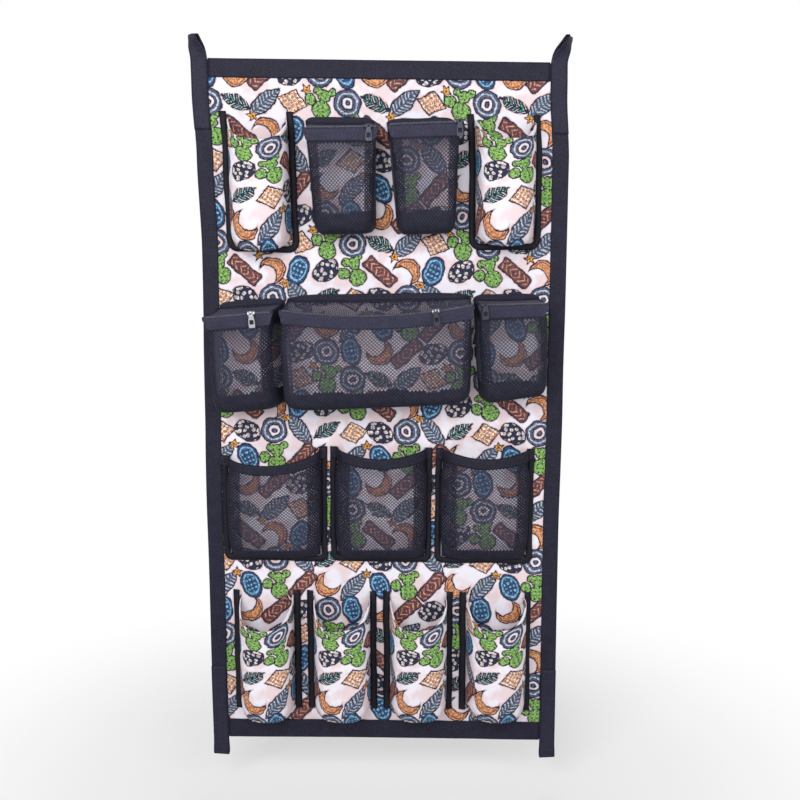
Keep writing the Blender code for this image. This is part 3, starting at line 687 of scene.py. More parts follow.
@dataclass(frozen=True, kw_only=True)
class RibbedWeave(Finish):
    """Woven tape or webbing: ribs along its length with painted highlights on their crowns, a fine cross
    thread and a slight sheen.

    Sizes are in millimetres. across_pitch is the ribs' spacing and along_pitch the cross thread's, stitches
    are the distances of the sewn lines from one edge, and thread_share is the cross thread's height beside
    the rib's.
    """

    across_pitch: float
    along_pitch: float
    rib_height: float
    thread_share: float = 0.3
    light: str = "#302F46"
    wear_per_mm: float = 0.05
    wear: float = 0.55
    slubs_per_mm: float = 0.38
    slub_tone: float = 0.28
    stitches: tuple[float, ...] = ()
    stitch_highlight: str = "#3C3B49"
    stitch_half_width: float = 0.5
    stitch_half_pitch: float = 1.9
    stitch_half_length: float = 1.35
    stitch_height: float = 0.35
    stitch_pull: float = 0.3

    def dress(self, board: NodeBoard, shader: bpy.types.Node) -> None:
        """Weaves the ribs and sews the stitches."""
        place = board.cut_place()
        parts = board.add("SeparateXYZ", place).node.outputs
        ribs = board.add("Math.PINGPONG", parts["Y"], self.across_pitch / 2)
        rib = board.add("Math.MULTIPLY", ribs, 2 * self.rib_height / self.across_pitch)
        turned = board.add("Math.MULTIPLY", parts["X"], 2 * math.pi / self.along_pitch)
        thread = board.add("Math.SINE", turned)
        relief = board.add("Math.MULTIPLY_ADD", thread, self.rib_height * self.thread_share, rib)
        worn = board.add("TexNoise", place, self.wear_per_mm, 3.0, 0.6, noise_dimensions="2D")
        # Painted highlight: the ribs' crowns are lightened towards the light colour and their grooves left
        # dark; the wear noise adds random tone.
        faded = board.add("Math.MULTIPLY_ADD", worn, self.wear, rib)
        slubs = board.add("TexNoise", place, self.slubs_per_mm, 1.0, 0.5, noise_dimensions="2D")
        uneven = board.add("MapRange", slubs, *NOISE_SPAN, -self.slub_tone, self.slub_tone)
        tone = board.add("Math.ADD", faded, uneven)
        shade = board.add("Mix", tone, linear(self.colour), linear(self.light), data_type="RGBA")
        for distance in self.stitches:
            row = board.add("Math.COMPARE", parts["Y"], distance, self.stitch_half_width)
            dashes = board.add("Math.PINGPONG", parts["X"], self.stitch_half_pitch)
            dash = board.add("Math.LESS_THAN", dashes, self.stitch_half_length)
            sewn = board.add("Math.MULTIPLY", row, dash)
            raised = board.add("Math.MULTIPLY_ADD", sewn, self.stitch_height, relief)
            sunk = board.add("Math.SUBTRACT", sewn, row)
            relief = board.add("Math.MULTIPLY_ADD", sunk, self.stitch_pull, raised)
            # The stitches are painted lighter than their dark thread: a painted highlight on the raised
            # thread.
            shade = board.add("Mix", sewn, shade, linear(self.stitch_highlight), data_type="RGBA")
        board.feed(shader, "Base Color", shade)
        board.feed(shader, "Normal", board.add("Bump", 1.0, MILLIMETRE, 1.0, relief))


@dataclass(frozen=True, kw_only=True)
class NetThread(Finish):
    """Knitted net of a dark thread that catches a little light along its strands, painted as glints of its
    light colour.

    On a layered net the strands' middles, within strand_edge millimetres, take strand_tone of the light
    colour as a painted highlight on the strands on top. relief is the thread's height in metres.
    """

    light: str = "#5B5A70"
    layered: bool = False
    glints_per_mm: float = 1.1
    glint_tone: float = 0.3
    patches_per_mm: float = 0.09
    strand_edge: tuple[float, float] = (0.3, 0.9)
    strand_tone: float = 0.8
    relief: float = 0.0006

    def upper_strand_highlight(self, board: NodeBoard, place: Socket) -> Socket:
        """The painted highlight on the strands that lie on top of the ones below, in patches."""
        pitch = NET_CELL / MILLIMETRE / math.sqrt(2)
        slant = math.sqrt(0.5)
        ridges = []
        for way in (slant, -slant):
            along = board.add("VectorMath.DOT_PRODUCT", place, (slant, way, 0.0))
            ridges.append(board.add("Math.PINGPONG", along, pitch / 2))
        ridge = board.add("Math.MINIMUM", *ridges)
        lit = board.add("MapRange", ridge, *self.strand_edge, self.strand_tone, 0.0)
        patches = board.add("TexNoise", place, self.patches_per_mm, 2.0, 0.5, noise_dimensions="2D")
        return board.add("Math.MULTIPLY", lit, patches)

    def dress(self, board: NodeBoard, shader: bpy.types.Node) -> None:
        """Paints glints along the thread; where the net is layered, a painted highlight makes the strands on
        top stand out from the ones below.
        """
        place = board.cut_place()
        # Painted glints: a fine noise lightens the thread towards the light colour, and also gives its bump.
        twist = board.add("TexNoise", place, self.glints_per_mm, 2.0, 0.5, noise_dimensions="2D")
        tone = twist
        if self.layered:
            strands = self.upper_strand_highlight(board, place)
            tone = board.add("Math.MULTIPLY_ADD", twist, self.glint_tone, strands)
        shade = board.add("Mix", tone, linear(self.colour), linear(self.light), data_type="RGBA")
        board.feed(shader, "Base Color", shade)
        board.feed(shader, "Normal", board.add("Bump", 1.0, self.relief, 1.0, tone))


@dataclass(frozen=True, kw_only=True)
class Plated(Finish):
    """Plated die-cast zinc, with fine scratches that vary its gloss and let its lighter tone through."""

    light: str
    scratches_per_metre: float = 900.0
    glossier: float = 0.08
    duller: float = 0.12
    scratch_depth: float = 0.00004

    def dress(self, board: NodeBoard, shader: bpy.types.Node) -> None:
        """Polishes the plating unevenly."""
        place = board.add("TexCoord").node.outputs["Object"]
        wear = board.add("TexNoise", place, self.scratches_per_metre, 3.0, 0.6)
        gloss = (self.roughness - self.glossier, self.roughness + self.duller)
        board.feed(shader, "Roughness", board.add("MapRange", wear, *NOISE_SPAN, *gloss))
        shade = board.add("Mix", wear, linear(self.colour), linear(self.light), data_type="RGBA")
        board.feed(shader, "Base Color", shade)
        shader.inputs["Metallic"].default_value = 1.0
        board.feed(shader, "Normal", board.add("Bump", 1.0, self.scratch_depth, 1.0, wear))


@dataclass(frozen=True, kw_only=True)
class Nylon(Finish):
    """Moulded nylon filament of the zip's coil: smooth, with a soft highlight; its colours are painted pale
    as a painted highlight.
    """

    light: str
    clouds_per_metre: float = 300.0

    def dress(self, board: NodeBoard, shader: bpy.types.Node) -> None:
        """Clouds the filament slightly."""
        place = board.add("TexCoord").node.outputs["Object"]
        cloud = board.add("TexNoise", place, self.clouds_per_metre, 2.0, 0.5)
        shade = board.add("Mix", cloud, linear(self.colour), linear(self.light), data_type="RGBA")
        board.feed(shader, "Base Color", shade)


# Coated woven cloth: dull, so that the print stays crisp at every angle
PRINT = PrintedCloth("printed_woven_polyester", "#F0E8ED", roughness=0.72, shine=0.2)
# Its coated back: matt, pale and nearly plain
REVERSE = ClothReverse("coated_cloth_reverse", "#CFC9CC", roughness=0.80, shine=0.2)
# Woven binding: nearly black, with fine ribs that only just show and one sewn line
BINDING = RibbedWeave(
    "woven_binding_tape", "#17161E", roughness=0.62, shine=0.16,
    across_pitch=1.6, along_pitch=1.2, rib_height=0.12, stitches=(3.0,),
)
# Narrow woven tape: darker and flatter than the binding, sewn down along both edges
TAPE = RibbedWeave(
    "pocket_edge_tape", "#15141B", roughness=0.64, shine=0.15,
    across_pitch=1.5, along_pitch=1.2, rib_height=0.12, light="#282732", stitches=(3.2, 7.8),
)
# Folded hem: a smooth, low rib that takes a little more light
HEM = RibbedWeave(
    "hem_tape", "#15141D", roughness=0.64, shine=0.14,
    across_pitch=1.8, along_pitch=1.2, rib_height=0.10, light="#343446", stitches=(2.4, 18.0),
)
# Woven polypropylene webbing: high, regular ribs with a soft gloss
WEBBING = RibbedWeave(
    "ribbed_polypropylene_webbing", "#17161F", roughness=0.58, shine=0.18,
    across_pitch=2.4, along_pitch=1.6, rib_height=0.34, stitches=(2.2, 24.8),
)
# Knitted zip tape: bluer and a little glossier than the woven tapes
ZIP_CLOTH = RibbedWeave(
    "knitted_zip_tape", "#1B1B29", roughness=0.60, shine=0.22,
    across_pitch=1.8, along_pitch=1.3, rib_height=0.12, light="#3B3B56", stitches=(4.0, 16.0),
)
# Knitted net: thin dark strands with painted glints of a lighter colour
NET = NetThread("polyester_diamond_net", "#1F1F2B", roughness=0.60, shine=0.20)
# The same net lying on its own seam allowance: closed and painted darker than its thread for the shade
# between its layers, with a painted highlight on the upper strands only
NET_SEAM = NetThread(
    "polyester_net_on_its_seam", "#0D0D13", roughness=0.64, shine=0.12, light="#3A3A4E", layered=True
)
# Moulded nylon: smooth, with a soft highlight along each turn; painted pale as a painted highlight along the
# zip line
COIL = Nylon("nylon_zip_coil", "#77757F", roughness=0.34, light="#C3C1CC")
# Bright plating over cast zinc: small sharp highlights
NICKEL = Plated("nickel_plated_zinc", "#7F8188", roughness=0.30, light="#C4C6CB")
# Dark plating over cast zinc: nearly as dark as the cloth but for its highlights
GUNMETAL = Plated("gunmetal_plated_zinc", "#26262D", roughness=0.36, light="#55565F")

COATED_CLOTH = (PRINT, REVERSE)
NET_CLOTH = (NET, NET_SEAM)

class Track:
    """Values along a fine polyline, read at an even share of its length."""

    def __init__(self, points: Sequence[Sequence[float]], scales: Sequence[float]) -> None:
        """Measures the polyline.

        Args:
            points: The values at each point.
            scales: How much a change of each value counts as length.
        """
        self.points = list(points)
        self.run = [0.0]
        for before, after in zip(self.points, self.points[1:]):
            step = math.hypot(*((b - a) * s for a, b, s in zip(before, after, scales)))
            self.run.append(self.run[-1] + step)

    def at(self, share: float) -> tuple[float, ...]:
        """The values at a share of the length."""
        goal = self.run[-1] * max(0.0, min(1.0, share))
        index = max(1, bisect.bisect_left(self.run, goal))
        span = self.run[index] - self.run[index - 1]
        mix = (goal - self.run[index - 1]) / span if span else 0.0
        return tuple(a + (b - a) * mix for a, b in zip(self.points[index - 1], self.points[index]))


def curve_through(rows: Sequence[Sequence[float]], steps: int = 10) -> list[tuple[float, ...]]:
    """Points of a smooth curve through rows of values, which never leaves the range of a row and the next.

    Args:
        rows: The values that the curve passes through.
        steps: How many points each span gets.

    Returns:
        The points, the rows among them.
    """
    made = [tuple(rows[0])]
    for index in range(len(rows) - 1):
        before = rows[max(0, index - 1)]
        start, end = rows[index], rows[index + 1]
        after = rows[min(len(rows) - 1, index + 2)]
        for step in range(1, steps + 1):
            t = step / steps
            values = []
            for a, b, c, d in zip(before, start, end, after):
                square = (2 * a - 5 * b + 4 * c - d) * t**2
                cube = (3 * b - a - 3 * c + d) * t**3
                value = 0.5 * (2 * b + (c - a) * t + square + cube)
                values.append(max(min(b, c), min(max(b, c), value)))
            made.append(tuple(values))
    return made


def rounded_section(roundness: float, width: float, depth: float, fine: int = 600) -> Track:
    """A pocket's section from seam to seam, as x from -1 to 1 and out from 0 to 1.

    Args:
        roundness: A higher number makes a squarer section.
        width: The real width from seam to seam.
        depth: The real depth.
        fine: How many steps the curve is worked out in.

    Returns:
        The section, read at an even share of its real length.
    """
    power = 2 / roundness
    points = []
    for step in range(fine + 1):
        angle = math.pi * step / fine
        x = -math.copysign(abs(math.cos(angle)) ** power, math.cos(angle))
        points.append((x, abs(math.sin(angle)) ** power))
    return Track(points, (width / 2, depth))


def between(ends: tuple[float, float], share: float) -> float:
    """The value a share of the way from the first end to the last."""
    return ends[0] + (ends[1] - ends[0]) * share


def drift(x: float, below: float) -> float:
    """How far the panel's cloth drifts to the right at x, a distance below the loops' crowns."""
    index = max(1, min(len(EDGE_DRIFT) - 1, bisect.bisect_left(EDGE_DRIFT, (below,))))
    before, after = EDGE_DRIFT[index - 1], EDGE_DRIFT[index]
    mix = ease((below - before[0]) / (after[0] - before[0]))
    left, right = (between((before[k], after[k]), mix) for k in (1, 2))
    return left + (right - left) * (x + HALF_WIDTH) / PANEL_WIDTH


def hang(point: Vector) -> Vector:
    """Carries a point with the slow waves of the hung panel, which die out away from it.

    Args:
        point: The place on flat-hanging cloth.

    Returns:
        The place on the waved cloth.
    """
    fade = 1.0 - ease(max(0.0, -point.y) / WAVE_REACH)
    slow = wrinkle(point.x / WAVE_LENGTH, point.z / WAVE_LENGTH, WAVE_LAYER)
    quick = wrinkle(point.x / PUCKER_LENGTH, point.z / PUCKER_LENGTH, PUCKER_LAYER)
    shift = (WAVE_HEIGHT * slow + PUCKER_HEIGHT * quick) * fade
    wobble = wrinkle(point.x / WOBBLE_WIDTH, point.z / WOBBLE_LENGTH, WOBBLE_LAYER)
    edge = WOBBLE_HEIGHT * wobble + drift(point.x, -point.z)
    return Vector((point.x + edge * fade, point.y + shift, point.z + HANG_SLOPE * point.x * fade))


@dataclass(frozen=True)
class Crease:
    """One size of crease or ripple in the cloth, with its own layer of noise.

    Its width and length are in metres or in shares of the cut, like the places that it is asked for.
    """

    height: float
    width: float
    length: float
    layer: float = 0.0

    def lift(self, across: float, down: float, seed: float = 0.0) -> float:
        """How far the crease lifts the cloth at a place; another seed gives another pattern."""
        return self.height * wrinkle(across / self.width, down / self.length, seed + self.layer)


def creased(creases: Sequence[Crease], across: float, down: float, seed: float) -> float:
    """How far all the creases lift a pocket's cloth at a place; each pocket has its own seed."""
    return sum(crease.lift(across, down, seed) for crease in creases)


@dataclass
class Cut:
    """A flat cut of cloth in square cells; origin is its upper left corner's place on the cloth's pattern."""

    width: float
    length: float
    cell: float
    origin: tuple[float, float] = (0.0, 0.0)
    mesh: bmesh.types.BMesh = field(init=False)
    area: float = field(init=False)

    def __post_init__(self) -> None:
        """Lays the cloth out."""
        self.mesh = bmesh.new()
        across = max(1, round(self.width / self.cell))
        down = max(1, round(self.length / self.cell))
        bmesh.ops.create_grid(self.mesh, x_segments=across, y_segments=down, size=0.5)
        bmesh.ops.translate(self.mesh, vec=(0.5, -0.5, 0.0), verts=self.mesh.verts)
        bmesh.ops.scale(self.mesh, vec=(self.width, self.length, 1.0), verts=self.mesh.verts)

    def open_net(
        self, strand: float, closed: Callable[[float, float], bool], doubled: Callable[[float, float], bool]
    ) -> None:
        """Turns the square cells to diamonds and opens each that isn't in a closed band.

        Args:
            strand: The width of a strand.
            closed: Whether the cloth at a place across and down is closed.
            doubled: Whether a seam allowance lies behind the net there, which leaves narrow holes.
        """
        seams = [edge for edge in self.mesh.edges if len(edge.link_faces) == 2]
        bmesh.ops.poke(self.mesh, faces=self.mesh.faces)
        bmesh.ops.dissolve_edges(self.mesh, edges=seams)
        holes = {strand: [], NET_DOUBLED: []}
        for face in self.mesh.faces:
            middle = face.calc_center_median()
            shut = len(face.verts) != 4 or closed(middle.x, -middle.y)
            lined = doubled(middle.x, -middle.y)
            face.material_index = int(shut or lined)
            if not shut:
                holes[NET_DOUBLED if lined else strand].append(face)
        for width, faces in holes.items():
            bmesh.ops.inset_individual(self.mesh, faces=faces, thickness=width / 2, use_even_offset=True)
        bmesh.ops.delete(self.mesh, geom=holes[strand] + holes[NET_DOUBLED], context="FACES")

    def bend(self, place: Callable[[float, float], Vector]) -> bmesh.types.BMesh:
        """Marks each point's place on the cut and moves it to its real place.

        Args:
            place: The real place of a share across and a share down the cut.

        Returns:
            The mesh, ready to become a piece.
        """
        self.area = sum(face.calc_area() for face in self.mesh.faces)
        layer = self.mesh.loops.layers.uv.new(CUT_MAP)
        for face in self.mesh.faces:
            for loop in face.loops:
                spot = loop.vert.co
                loop[layer].uv = (self.origin[0] + spot.x, self.origin[1] + spot.y)
        for vertex in self.mesh.verts:
            across = min(1.0, max(0.0, vertex.co.x / self.width))
            down = min(1.0, max(0.0, -vertex.co.y / self.length))
            vertex.co = place(across, down)
        return self.mesh


def add_piece(
    name: str,
    made: bmesh.types.BMesh,
    finishes: Sequence[Finish],
    stands_for: str = "",
    wall: float = 0.0,
    body: str = "root",
) -> bpy.types.Object:
    """Puts a finished mesh into the scene as a piece of the organizer.

    Args:
        name: The piece's name.
        made: The mesh, which is freed.
        finishes: The front's finish, and the back's where it differs.
        stands_for: The solid that the piece stands for, where it has one.
        wall: The cloth's thickness, behind the face that looks out.
        body: The body that the piece rides on.

    Returns:
        The piece.
    """
    data = bpy.data.meshes.new(name)
    made.to_mesh(data)
    made.free()
    for finish in finishes:
        data.materials.append(finish.build())
    data.shade_smooth()
    piece = bpy.data.objects.new(name, data)
    bpy.context.scene.collection.objects.link(piece)
    if wall:
        solid = piece.modifiers.new("wall", "SOLIDIFY")
        solid.thickness = wall
        solid.offset = -1.0
        solid.use_even_offset = False
        solid.material_offset = int(REVERSE in finishes)
        solid.material_offset_rim = int(REVERSE in finishes)
    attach(piece, body)
    if stands_for:
        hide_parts(stands_for)
    LOG.info("%s: %d faces", name, len(data.polygons))
    return piece


@dataclass
class Panel:
    """The printed panel and the woven tape bound over its four edges."""

    cell: float = 0.007
    binding_cell: float = 0.006
    fold_steps: int = 8
    ripple: Crease = Crease(0.0007, 0.018, 1.0)
    front_row: float = 2.0
    back_row: float = 6.0

    def build_cloth(self) -> None:
        """Hangs the panel."""
        cut = Cut(PANEL_WIDTH, PANEL_HEIGHT, self.cell)

        def place(across: float, down: float) -> Vector:
            return hang(Vector((PANEL_WIDTH * (across - 0.5), 0.0, PANEL_TOP - PANEL_HEIGHT * down)))

        made = cut.bend(place)
        piece = add_piece("panel_cloth", made, COATED_CLOTH, "back_panel", PANEL_THICK)

    def fold(self, width: float) -> Track:
        """The tape's section round the panel's edge, as its reach over the panel and its depth."""
        outer = PANEL_THICK / 2 + GAP + BINDING_THICK
        middle = PANEL_THICK / 2
        points = [(width, middle - outer), (0.0, middle - outer)]
        for step in range(1, self.fold_steps):
            angle = math.pi * step / self.fold_steps
            points.append((-outer * math.sin(angle), middle - outer * math.cos(angle)))
        points += [(0.0, middle + outer), (width, middle + outer)]
        return Track(points, (1.0, 1.0))

    def build_binding(self, side: str, start: Vector, end: Vector, inward: Vector, width: float) -> None:
        """Folds one tape over an edge.

        Args:
            side: The edge's name.
            start: Where the tape starts.
            end: Where it ends, with the panel on its inner side.
            inward: The way into the panel.
            width: How far the tape reaches over the panel.
        """
        section = self.fold(width)
        length = (end - start).length
        girth = section.run[-1]
        cut = Cut(length, girth, self.binding_cell)
        grid = cut.mesh
        across = [e for e in grid.edges if abs(e.verts[0].co.x - e.verts[1].co.x) < TINY]
        bmesh.ops.subdivide_edges(grid, edges=across, cuts=1)
        seed = width * 90

        def place(along: float, over: float) -> Vector:
            reach, y = section.at(over)
            spot = start.lerp(end, along) + inward * reach
            ripple = self.ripple.lift(along * length, self.front_row if y < 0 else self.back_row, seed)
            near_edge = ease(reach / width) if reach > 0 else 0.0
            return hang(spot + Vector((0.0, y, 0.0))) + inward * (ripple * near_edge)

        made = cut.bend(place)
        name = f"{side}_binding_tape"
        piece = add_piece(name, made, (BINDING,), f"binding_{side}", BINDING_THICK)

    def build(self) -> None:
        """Hangs the panel and binds its edges; the top and bottom tapes end against the side ones."""
        self.build_cloth()
        inner = HALF_WIDTH - SIDE_BINDING - GAP
        sides = {
            "left": ((-HALF_WIDTH, PANEL_TOP), (-HALF_WIDTH, PANEL_BOTTOM), (1, 0), SIDE_BINDING),
            "right": ((HALF_WIDTH, PANEL_BOTTOM), (HALF_WIDTH, PANEL_TOP), (-1, 0), SIDE_BINDING),
            "top": ((inner, PANEL_TOP), (-inner, PANEL_TOP), (0, -1), TOP_BINDING),
            "bottom": ((-inner, PANEL_BOTTOM), (inner, PANEL_BOTTOM), (0, 1), BOTTOM_BINDING),
        }
        for side, (*places, width) in sides.items():
            start, end, inward = (Vector((x, 0, z)) for x, z in places)
            self.build_binding(side, start, end, inward, width)


@dataclass
class Strap:
    """A webbing loop: a tail on the front, over or under the panel's edge in a loop, a tail behind.

    side is -1 at the left and 1 at the right, and upward is 1 above the panel and -1 below it. The loop rises
    past the edge, its two layers lie gap apart, and it leans outwards and turns by twist degrees as it rises.
    """

    name: str
    side: int
    upward: int
    rise: float
    gap: float
    tail: float
    lean: float
    twist: float
    twist_start: float = 0.004
    lean_curve: float = 1.4
    steps: int = 16
    cell: float = 0.0045

    def path(self) -> Track:
        """The strap's run as its height over the panel's edge and its reach from the panel's middle."""
        radius = self.gap / 2
        leg = self.rise - radius
        points = [(-self.tail, STRAP_REACH), (self.twist_start, STRAP_REACH)]
        for step in range(1, self.steps):
            share = step / self.steps
            height = self.twist_start + (leg - self.twist_start) * share
            points.append((height, STRAP_REACH + (radius - STRAP_REACH) * ease(share)))
        crown = []
        for step in range(self.steps + 1):
            angle = math.pi * step / self.steps
            crown.append((leg + radius * math.sin(angle), radius * math.cos(angle)))
        back = [(height, -reach) for height, reach in reversed(points)]
        return Track(points + crown + back, (1.0, 1.0))

    def build(self) -> None:
        """Bends the webbing."""
        edge = PANEL_TOP if self.upward > 0 else PANEL_BOTTOM
        centre = self.side * (HALF_WIDTH - STRAP_WIDTH / 2 + STRAP_OVERHANG)
        leg = self.rise - self.gap / 2
        path = self.path()
        length = path.run[-1]
        cut = Cut(length, STRAP_WIDTH, self.cell)

        def place(along: float, across: float) -> Vector:
            height, reach = path.at(1 - along)
            turned = (height - self.twist_start) / (leg - self.twist_start)
            angle = self.side * math.radians(self.twist) * ease(turned)
            over = max(0.0, height / self.rise)
            out = Vector((math.sin(angle), -math.cos(angle), 0.0))
            wide = Vector((math.cos(angle), math.sin(angle), 0.0))
            leant = centre + self.side * self.lean * over**self.lean_curve
            middle = Vector((leant, PANEL_THICK / 2, edge + self.upward * height))
            return hang(middle + out * reach + wide * (STRAP_WIDTH * (across - 0.5) * self.upward))

        made = cut.bend(place)
        piece = add_piece(f"{self.name}_webbing", made, (WEBBING,), self.name, STRAP_THICK)


def pouch_point(
    seams: tuple[float, float], x: float, out: float, across: float, row: Sequence[float], depth: float
) -> Vector:
    """A point of an open pocket's outer face, its height still to be set.

    Args:
        seams: The pocket's left and right seam.
        x: The section's place across, from -1 to 1.
        out: The section's share of the depth.
        across: The share across the cut.
        row: The depth, the fall and how evenly the points are spread, each as a share.
        depth: The full depth.

    Returns:
        The point, at height 0.
    """
    outward, fall, even = row
    x += (2 * across - 1 - x) * even
    middle = (seams[0] + seams[1]) / 2
    half = (seams[1] - seams[0]) / 2
    return Vector((middle + half * x, FRONT - depth * outward * out - CLOTH * fall**4, 0.0))


@dataclass
class EdgeTape:
    """A tape that follows corners on the panel, outside a pocket's seam.

    Its inner edge is raised by lift, over the pocket's cloth, and its corners are turned within turn.
    """

    name: str
    corners: list[tuple[float, float]]
    stands_for: str
    lift: float = 0.0
    turn: float = 0.009
    turn_steps: int = 5
    cell: float = 0.0055
    crown: float = 0.0007
    wobble: Crease = Crease(0.0014, 0.05, 1.0, layer=1.5)
    wall: float = 0.0012

    def inner_edge(self) -> list[Vector]:
        """The line of the tape's inner edge, with its corners rounded."""
        sharp = [Vector((x, 0.0, z)) for x, z in self.corners]
        points = sharp[:1]
        for before, corner, after in zip(sharp, sharp[1:], sharp[2:]):
            start = corner + (before - corner).normalized() * self.turn
            end = corner + (after - corner).normalized() * self.turn
            for step in range(self.turn_steps + 1):
                share = step / self.turn_steps
                points.append(start.lerp(corner, share).lerp(corner.lerp(end, share), share))
        return points + sharp[-1:]

    def build(self) -> None:
        """Sews the tape round the pocket; the corners run down the left, along and up the right."""
        points = self.inner_edge()
        outward = []
        for point in points:
            ways = [b - a for a, b in zip(points, points[1:]) if point in (a, b)]
            sides = [way.normalized().cross(Vector((0, -1, 0))) for way in ways]
            mean = sum(sides, Vector()) / len(sides)
            outward.append(mean / mean.length_squared)
        run = [0.0]
        for before, after in zip(points, points[1:]):
            run.append(run[-1] + (after - before).length)
        cut = Cut(run[-1], TAPE_WIDTH, self.cell)
        grid = cut.mesh
        for corner in run[1:-1]:
            geometry = grid.verts[:] + grid.edges[:] + grid.faces[:]
            bmesh.ops.bisect_plane(grid, geom=geometry, plane_co=(corner, 0, 0), plane_no=(1, 0, 0))
        seed = self.corners[0][0] * 9

        def place(along: float, across: float) -> Vector:
            goal = along * run[-1]
            index = min(max(1, bisect.bisect_left(run, goal - TINY)), len(run) - 1)
            mix = (goal - run[index - 1]) / (run[index] - run[index - 1])
            near = points[index - 1].lerp(points[index], mix)
            side = outward[index - 1].lerp(outward[index], mix)
            far = near + side * (TAPE_WIDTH * (1 - across))
            crown = self.crown * (1 - (2 * across - 1) ** 2)
            front = GAP + TAPE_THICK + self.lift * across + crown
            return hang(far + Vector((0.0, -front, 0.0))) + side * self.wobble.lift(goal, seed)

        piece = add_piece(self.name, cut.bend(place), (TAPE,), self.stands_for, self.wall)


@dataclass
class BottlePocket:
    """An open pocket of printed cloth: a bulging front, a mouth that sags with a turned hem, a gathered base.

    rows are the profile from the mouth to the base: the depth, the fall and how evenly the cloth is spread,
    each as a share. The gathers start, grow and end at shares of the fall.
    """

    name: str
    left: float
    right: float
    top: float
    bottom: float
    dip: float
    seam_rise: float
    slant: float = 0.0
    droop: float = 0.0
    depth: float = 0.062
    mouth_below_tape: float = 0.009
    roundness: float = 2.9
    mouth_curve: float = 1.6
    hem: float = 0.014
    hem_inset: float = 0.0022
    hem_turn: float = 0.003
    lip: Crease = Crease(0.0016, 1 / 5, 1.0)
    gather_height: float = 0.0021
    gather_pitch: float = 0.0105
    gather_shift: Crease = Crease(2.0, 1 / 7, 1.0)
    gather_start: float = 0.62
    gather_growth: float = 0.3
    gather_end: float = 0.97
    print_shift: float = 0.03
    cell: float = 0.0042
    creases: tuple[Crease, ...] = (Crease(0.0045, 0.045, 0.11), Crease(0.0016, 0.020, 0.05, layer=4.0))
    rows: tuple[tuple[float, float, float], ...] = (
        (1.00, 0.00, 0.0),
        (1.00, 0.10, 0.0),
        (1.01, 0.27, 0.0),
        (1.04, 0.46, 0.0),
        (1.05, 0.64, 0.0),
        (1.01, 0.79, 0.0),
        (0.90, 0.89, 0.10),
        (0.68, 0.95, 0.30),
        (0.34, 0.98, 0.65),
        (0.00, 1.00, 1.00),
    )

    def gathers(self, across: float, width: float, fall: float, seed: float) -> float:
        """How far the gathers lift the cloth, a share across its width and at a share of the fall."""
        uneven = self.gather_shift.lift(across, 0.0, seed)
        wave = math.cos(across * width / self.gather_pitch * 2 * math.pi + uneven)
        grown = ease((fall - self.gather_start) / self.gather_growth)
        ended = ease((fall - self.gather_end) / (1 - self.gather_end))
        return self.gather_height * wave * grown * (1 - ended)

    def build(self) -> None:
        """Cuts and sews the pocket's cloth."""
        seams = (self.left + TAPE_WIDTH + GAP, self.right - TAPE_WIDTH - GAP)
        section = rounded_section(self.roundness, seams[1] - seams[0], self.depth)
        mouth = self.top - self.mouth_below_tape
        height = mouth - (self.bottom + self.seam_rise)
        profile = Track(curve_through(self.rows), (self.depth, height, 0.0))
        width = section.run[-1]
        wall = profile.run[-1]
        length = wall + self.hem
        cut = Cut(width, length, self.cell, (-width / 2, -self.print_shift))
        seed = self.left * 40

        def place(across: float, down: float) -> Vector:
            run = down * length - self.hem
            turned = ease((self.hem_turn / 2 - run) / self.hem_turn) * self.hem_inset
            row = profile.at(abs(run) / wall)
            outward, fall = row[:2]
            x, out = section.at(across)
            inner = (seams[0] + turned, seams[1] - turned)
            free = math.sin(math.pi * across) ** 0.6
            crease = creased(self.creases, across * width, run, seed)
            crease += self.gathers(across, width, fall, seed)
            point = pouch_point(inner, x, out, across, row, self.depth - turned + crease * free)
            # Each power says how soon the mouth's shape dies out below it, or the base's above it.
            dip = self.dip * out**self.mouth_curve * (1 - fall) ** 1.5
            dip -= self.slant * (across - 0.5) * 2 * out**0.5 * (1 - fall) ** 2
            lip = self.lip.lift(across, 0.3, seed) * (1 - fall) ** 6
            hangs = (self.seam_rise + self.droop) * out * min(1.0, BELLY_REACH * outward) * fall**4
            point.z = mouth - height * fall - dip - hangs + lip * free
            return hang(point)

        made = cut.bend(place)
        cloth = f"{self.name}_cloth"
        piece = add_piece(f"{self.name}_pouch", made, COATED_CLOTH, cloth, CLOTH)


